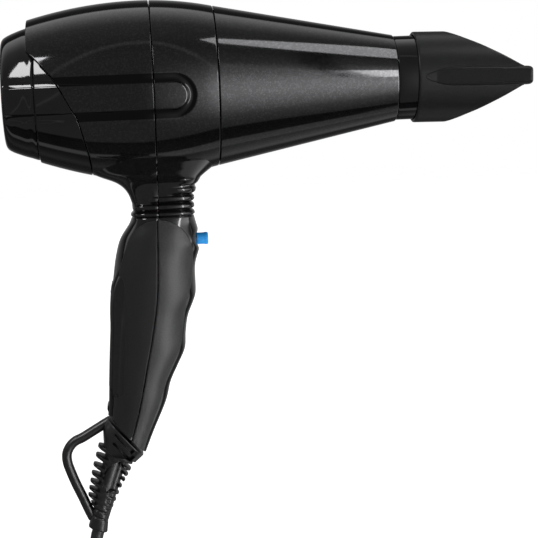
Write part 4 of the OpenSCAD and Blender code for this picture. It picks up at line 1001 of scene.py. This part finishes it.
loopPoints = [(-23.4, 0, -50.5), (-26.5, 0, -52.1), (-30, 0, -54.1), (-35, 0, -56.9), (-39.5, 0, -59.4),
              (-43.6, 0, -61.2), (-46.6, 0, -64), (-48.5, 0, -68), (-48.4, 0, -73), (-46.6, 0, -79),
              (-44, 0, -86), (-41, 0, -93), (-38.2, 0, -100), (-36, 0, -105)]
finishPiece(tube("hangingLoop", smoothCurve(loopPoints, 8), 2.75, 24), mouldedRubber, "root", ("hang_loop",),
            60)

# ---- carried-over nodes: what each is made of ----

innerFinishes = {  # shader settings, two colours, pattern per metre, roughness range, bump, and the nodes
    # drawn wire and ground steel: bright, with fine streaky gloss
    "stainlessWire": ({"Metallic": 1.0}, ("#a8a8aa", "#c2c2c4"), 300, (0.22, 0.34), 0.05,
                      ["dust_filter", "outlet_grille", "nozzle_ring", "cool_shot_spring", "heating_coil_main",
                       "heating_coil_boost", "thermal_fuse", "motor_shaft"]),
    # pressed sheet with a cloudy bluish grey plating
    "zincPlatedSteel": ({"Metallic": 1.0}, ("#8e9094", "#b0b1b4"), 250, (0.3, 0.44), 0.08,
                        ["motor_case", "motor_bracket_rear", "motor_bracket_front", "housing_screws",
                         "clamp_screws"]),
    # stamped sheets in a stack: dark grey with a fine dull edge
    "laminatedIron": ({"Metallic": 0.9}, ("#3a3b3e", "#55565a"), 1400, (0.4, 0.55), 0.2,
                      ["stator_core", "armature_core"]),
    # wound wire under varnish: warm brown with a wet gloss
    "enamelledCopper": ({"Metallic": 0.9, "Coat Weight": 0.5, "Coat Roughness": 0.1}, ("#8a4a22", "#b86a35"),
                        1200,
                        (0.25, 0.4), 0.25, ["field_coils", "armature_windings", "commutator"]),
    # pressed and sintered powder: dull yellow brown, slightly pitted
    "sinteredBronze": ({"Metallic": 1.0}, ("#8f6a34", "#b08a4c"), 900, (0.4, 0.55), 0.15,
                       ["bearing_rear", "bearing_front", "brush_holders"]),
    # pressed powder: sooty black
    "pressedCarbon": ({"IOR": 1.6}, ("#141414", "#202022"), 1600, (0.5, 0.7), 0.3, ["carbon_brushes"]),
    # pressed flakes: pale brown in broad blotches
    "pressedMica": ({"IOR": 1.58, "Coat Weight": 0.2}, ("#a8977a", "#cdbfa0"), 180, (0.35, 0.6), 0.15,
                    ["mica_tube", "mica_board_upright", "mica_board_level"]),
    # moulded, glass filled: off-white with a faint fibre mottle
    "glassFilledNylon": ({"IOR": 1.53}, ("#cfcbc0", "#dedacf"), 500, (0.4, 0.52), 0.1, ["fan_impeller"]),
    # moulded: dark grey, plain satin
    "mouldedPbt": ({"IOR": 1.55}, ("#1a1a1b", "#262627"), 700, (0.4, 0.5), 0.12,
                   ["thermal_cutout", "cool_shot_switch", "speed_switch", "heat_switch", "cord_clamp",
                    "fan_shroud",
                    "intake_guard", "rear_mesh", "hank_tie"]),
    # printed coating on the board: deep green, glossy
    "solderMask": ({"IOR": 1.55, "Coat Weight": 0.4}, ("#0b4a28", "#0f5c33"), 120, (0.25, 0.35), 0.05,
                   ["switch_board"]),
    # dipped resin: ochre with a rounded gloss
    "dippedFilm": ({"IOR": 1.5, "Coat Weight": 0.4}, ("#b88a24", "#cfa034"), 90, (0.2, 0.3), 0.05,
                   ["suppression_capacitor"]),
    # extruded sleeve: red, low gloss
    "extrudedPvc": ({"IOR": 1.53}, ("#8c1512", "#a31d19"), 500, (0.35, 0.45), 0.08, ["wiring_loom"]),
}


def dressNodes(material, nodeNames):
    for nodeName in nodeNames:
        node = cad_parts[nodeName]
        node.data.materials.clear()
        node.data.materials.append(material)


for finishName, (*finishLook, finishNodes) in innerFinishes.items():
    dressNodes(grainMaterial(finishName, *finishLook), finishNodes)
dressNodes(glossBlack, ["switch_frame"])
dressNodes(mouldedRubber, ["plug", "inner_lead"])
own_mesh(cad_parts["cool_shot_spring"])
print("finishes: every carried-over node has its material")
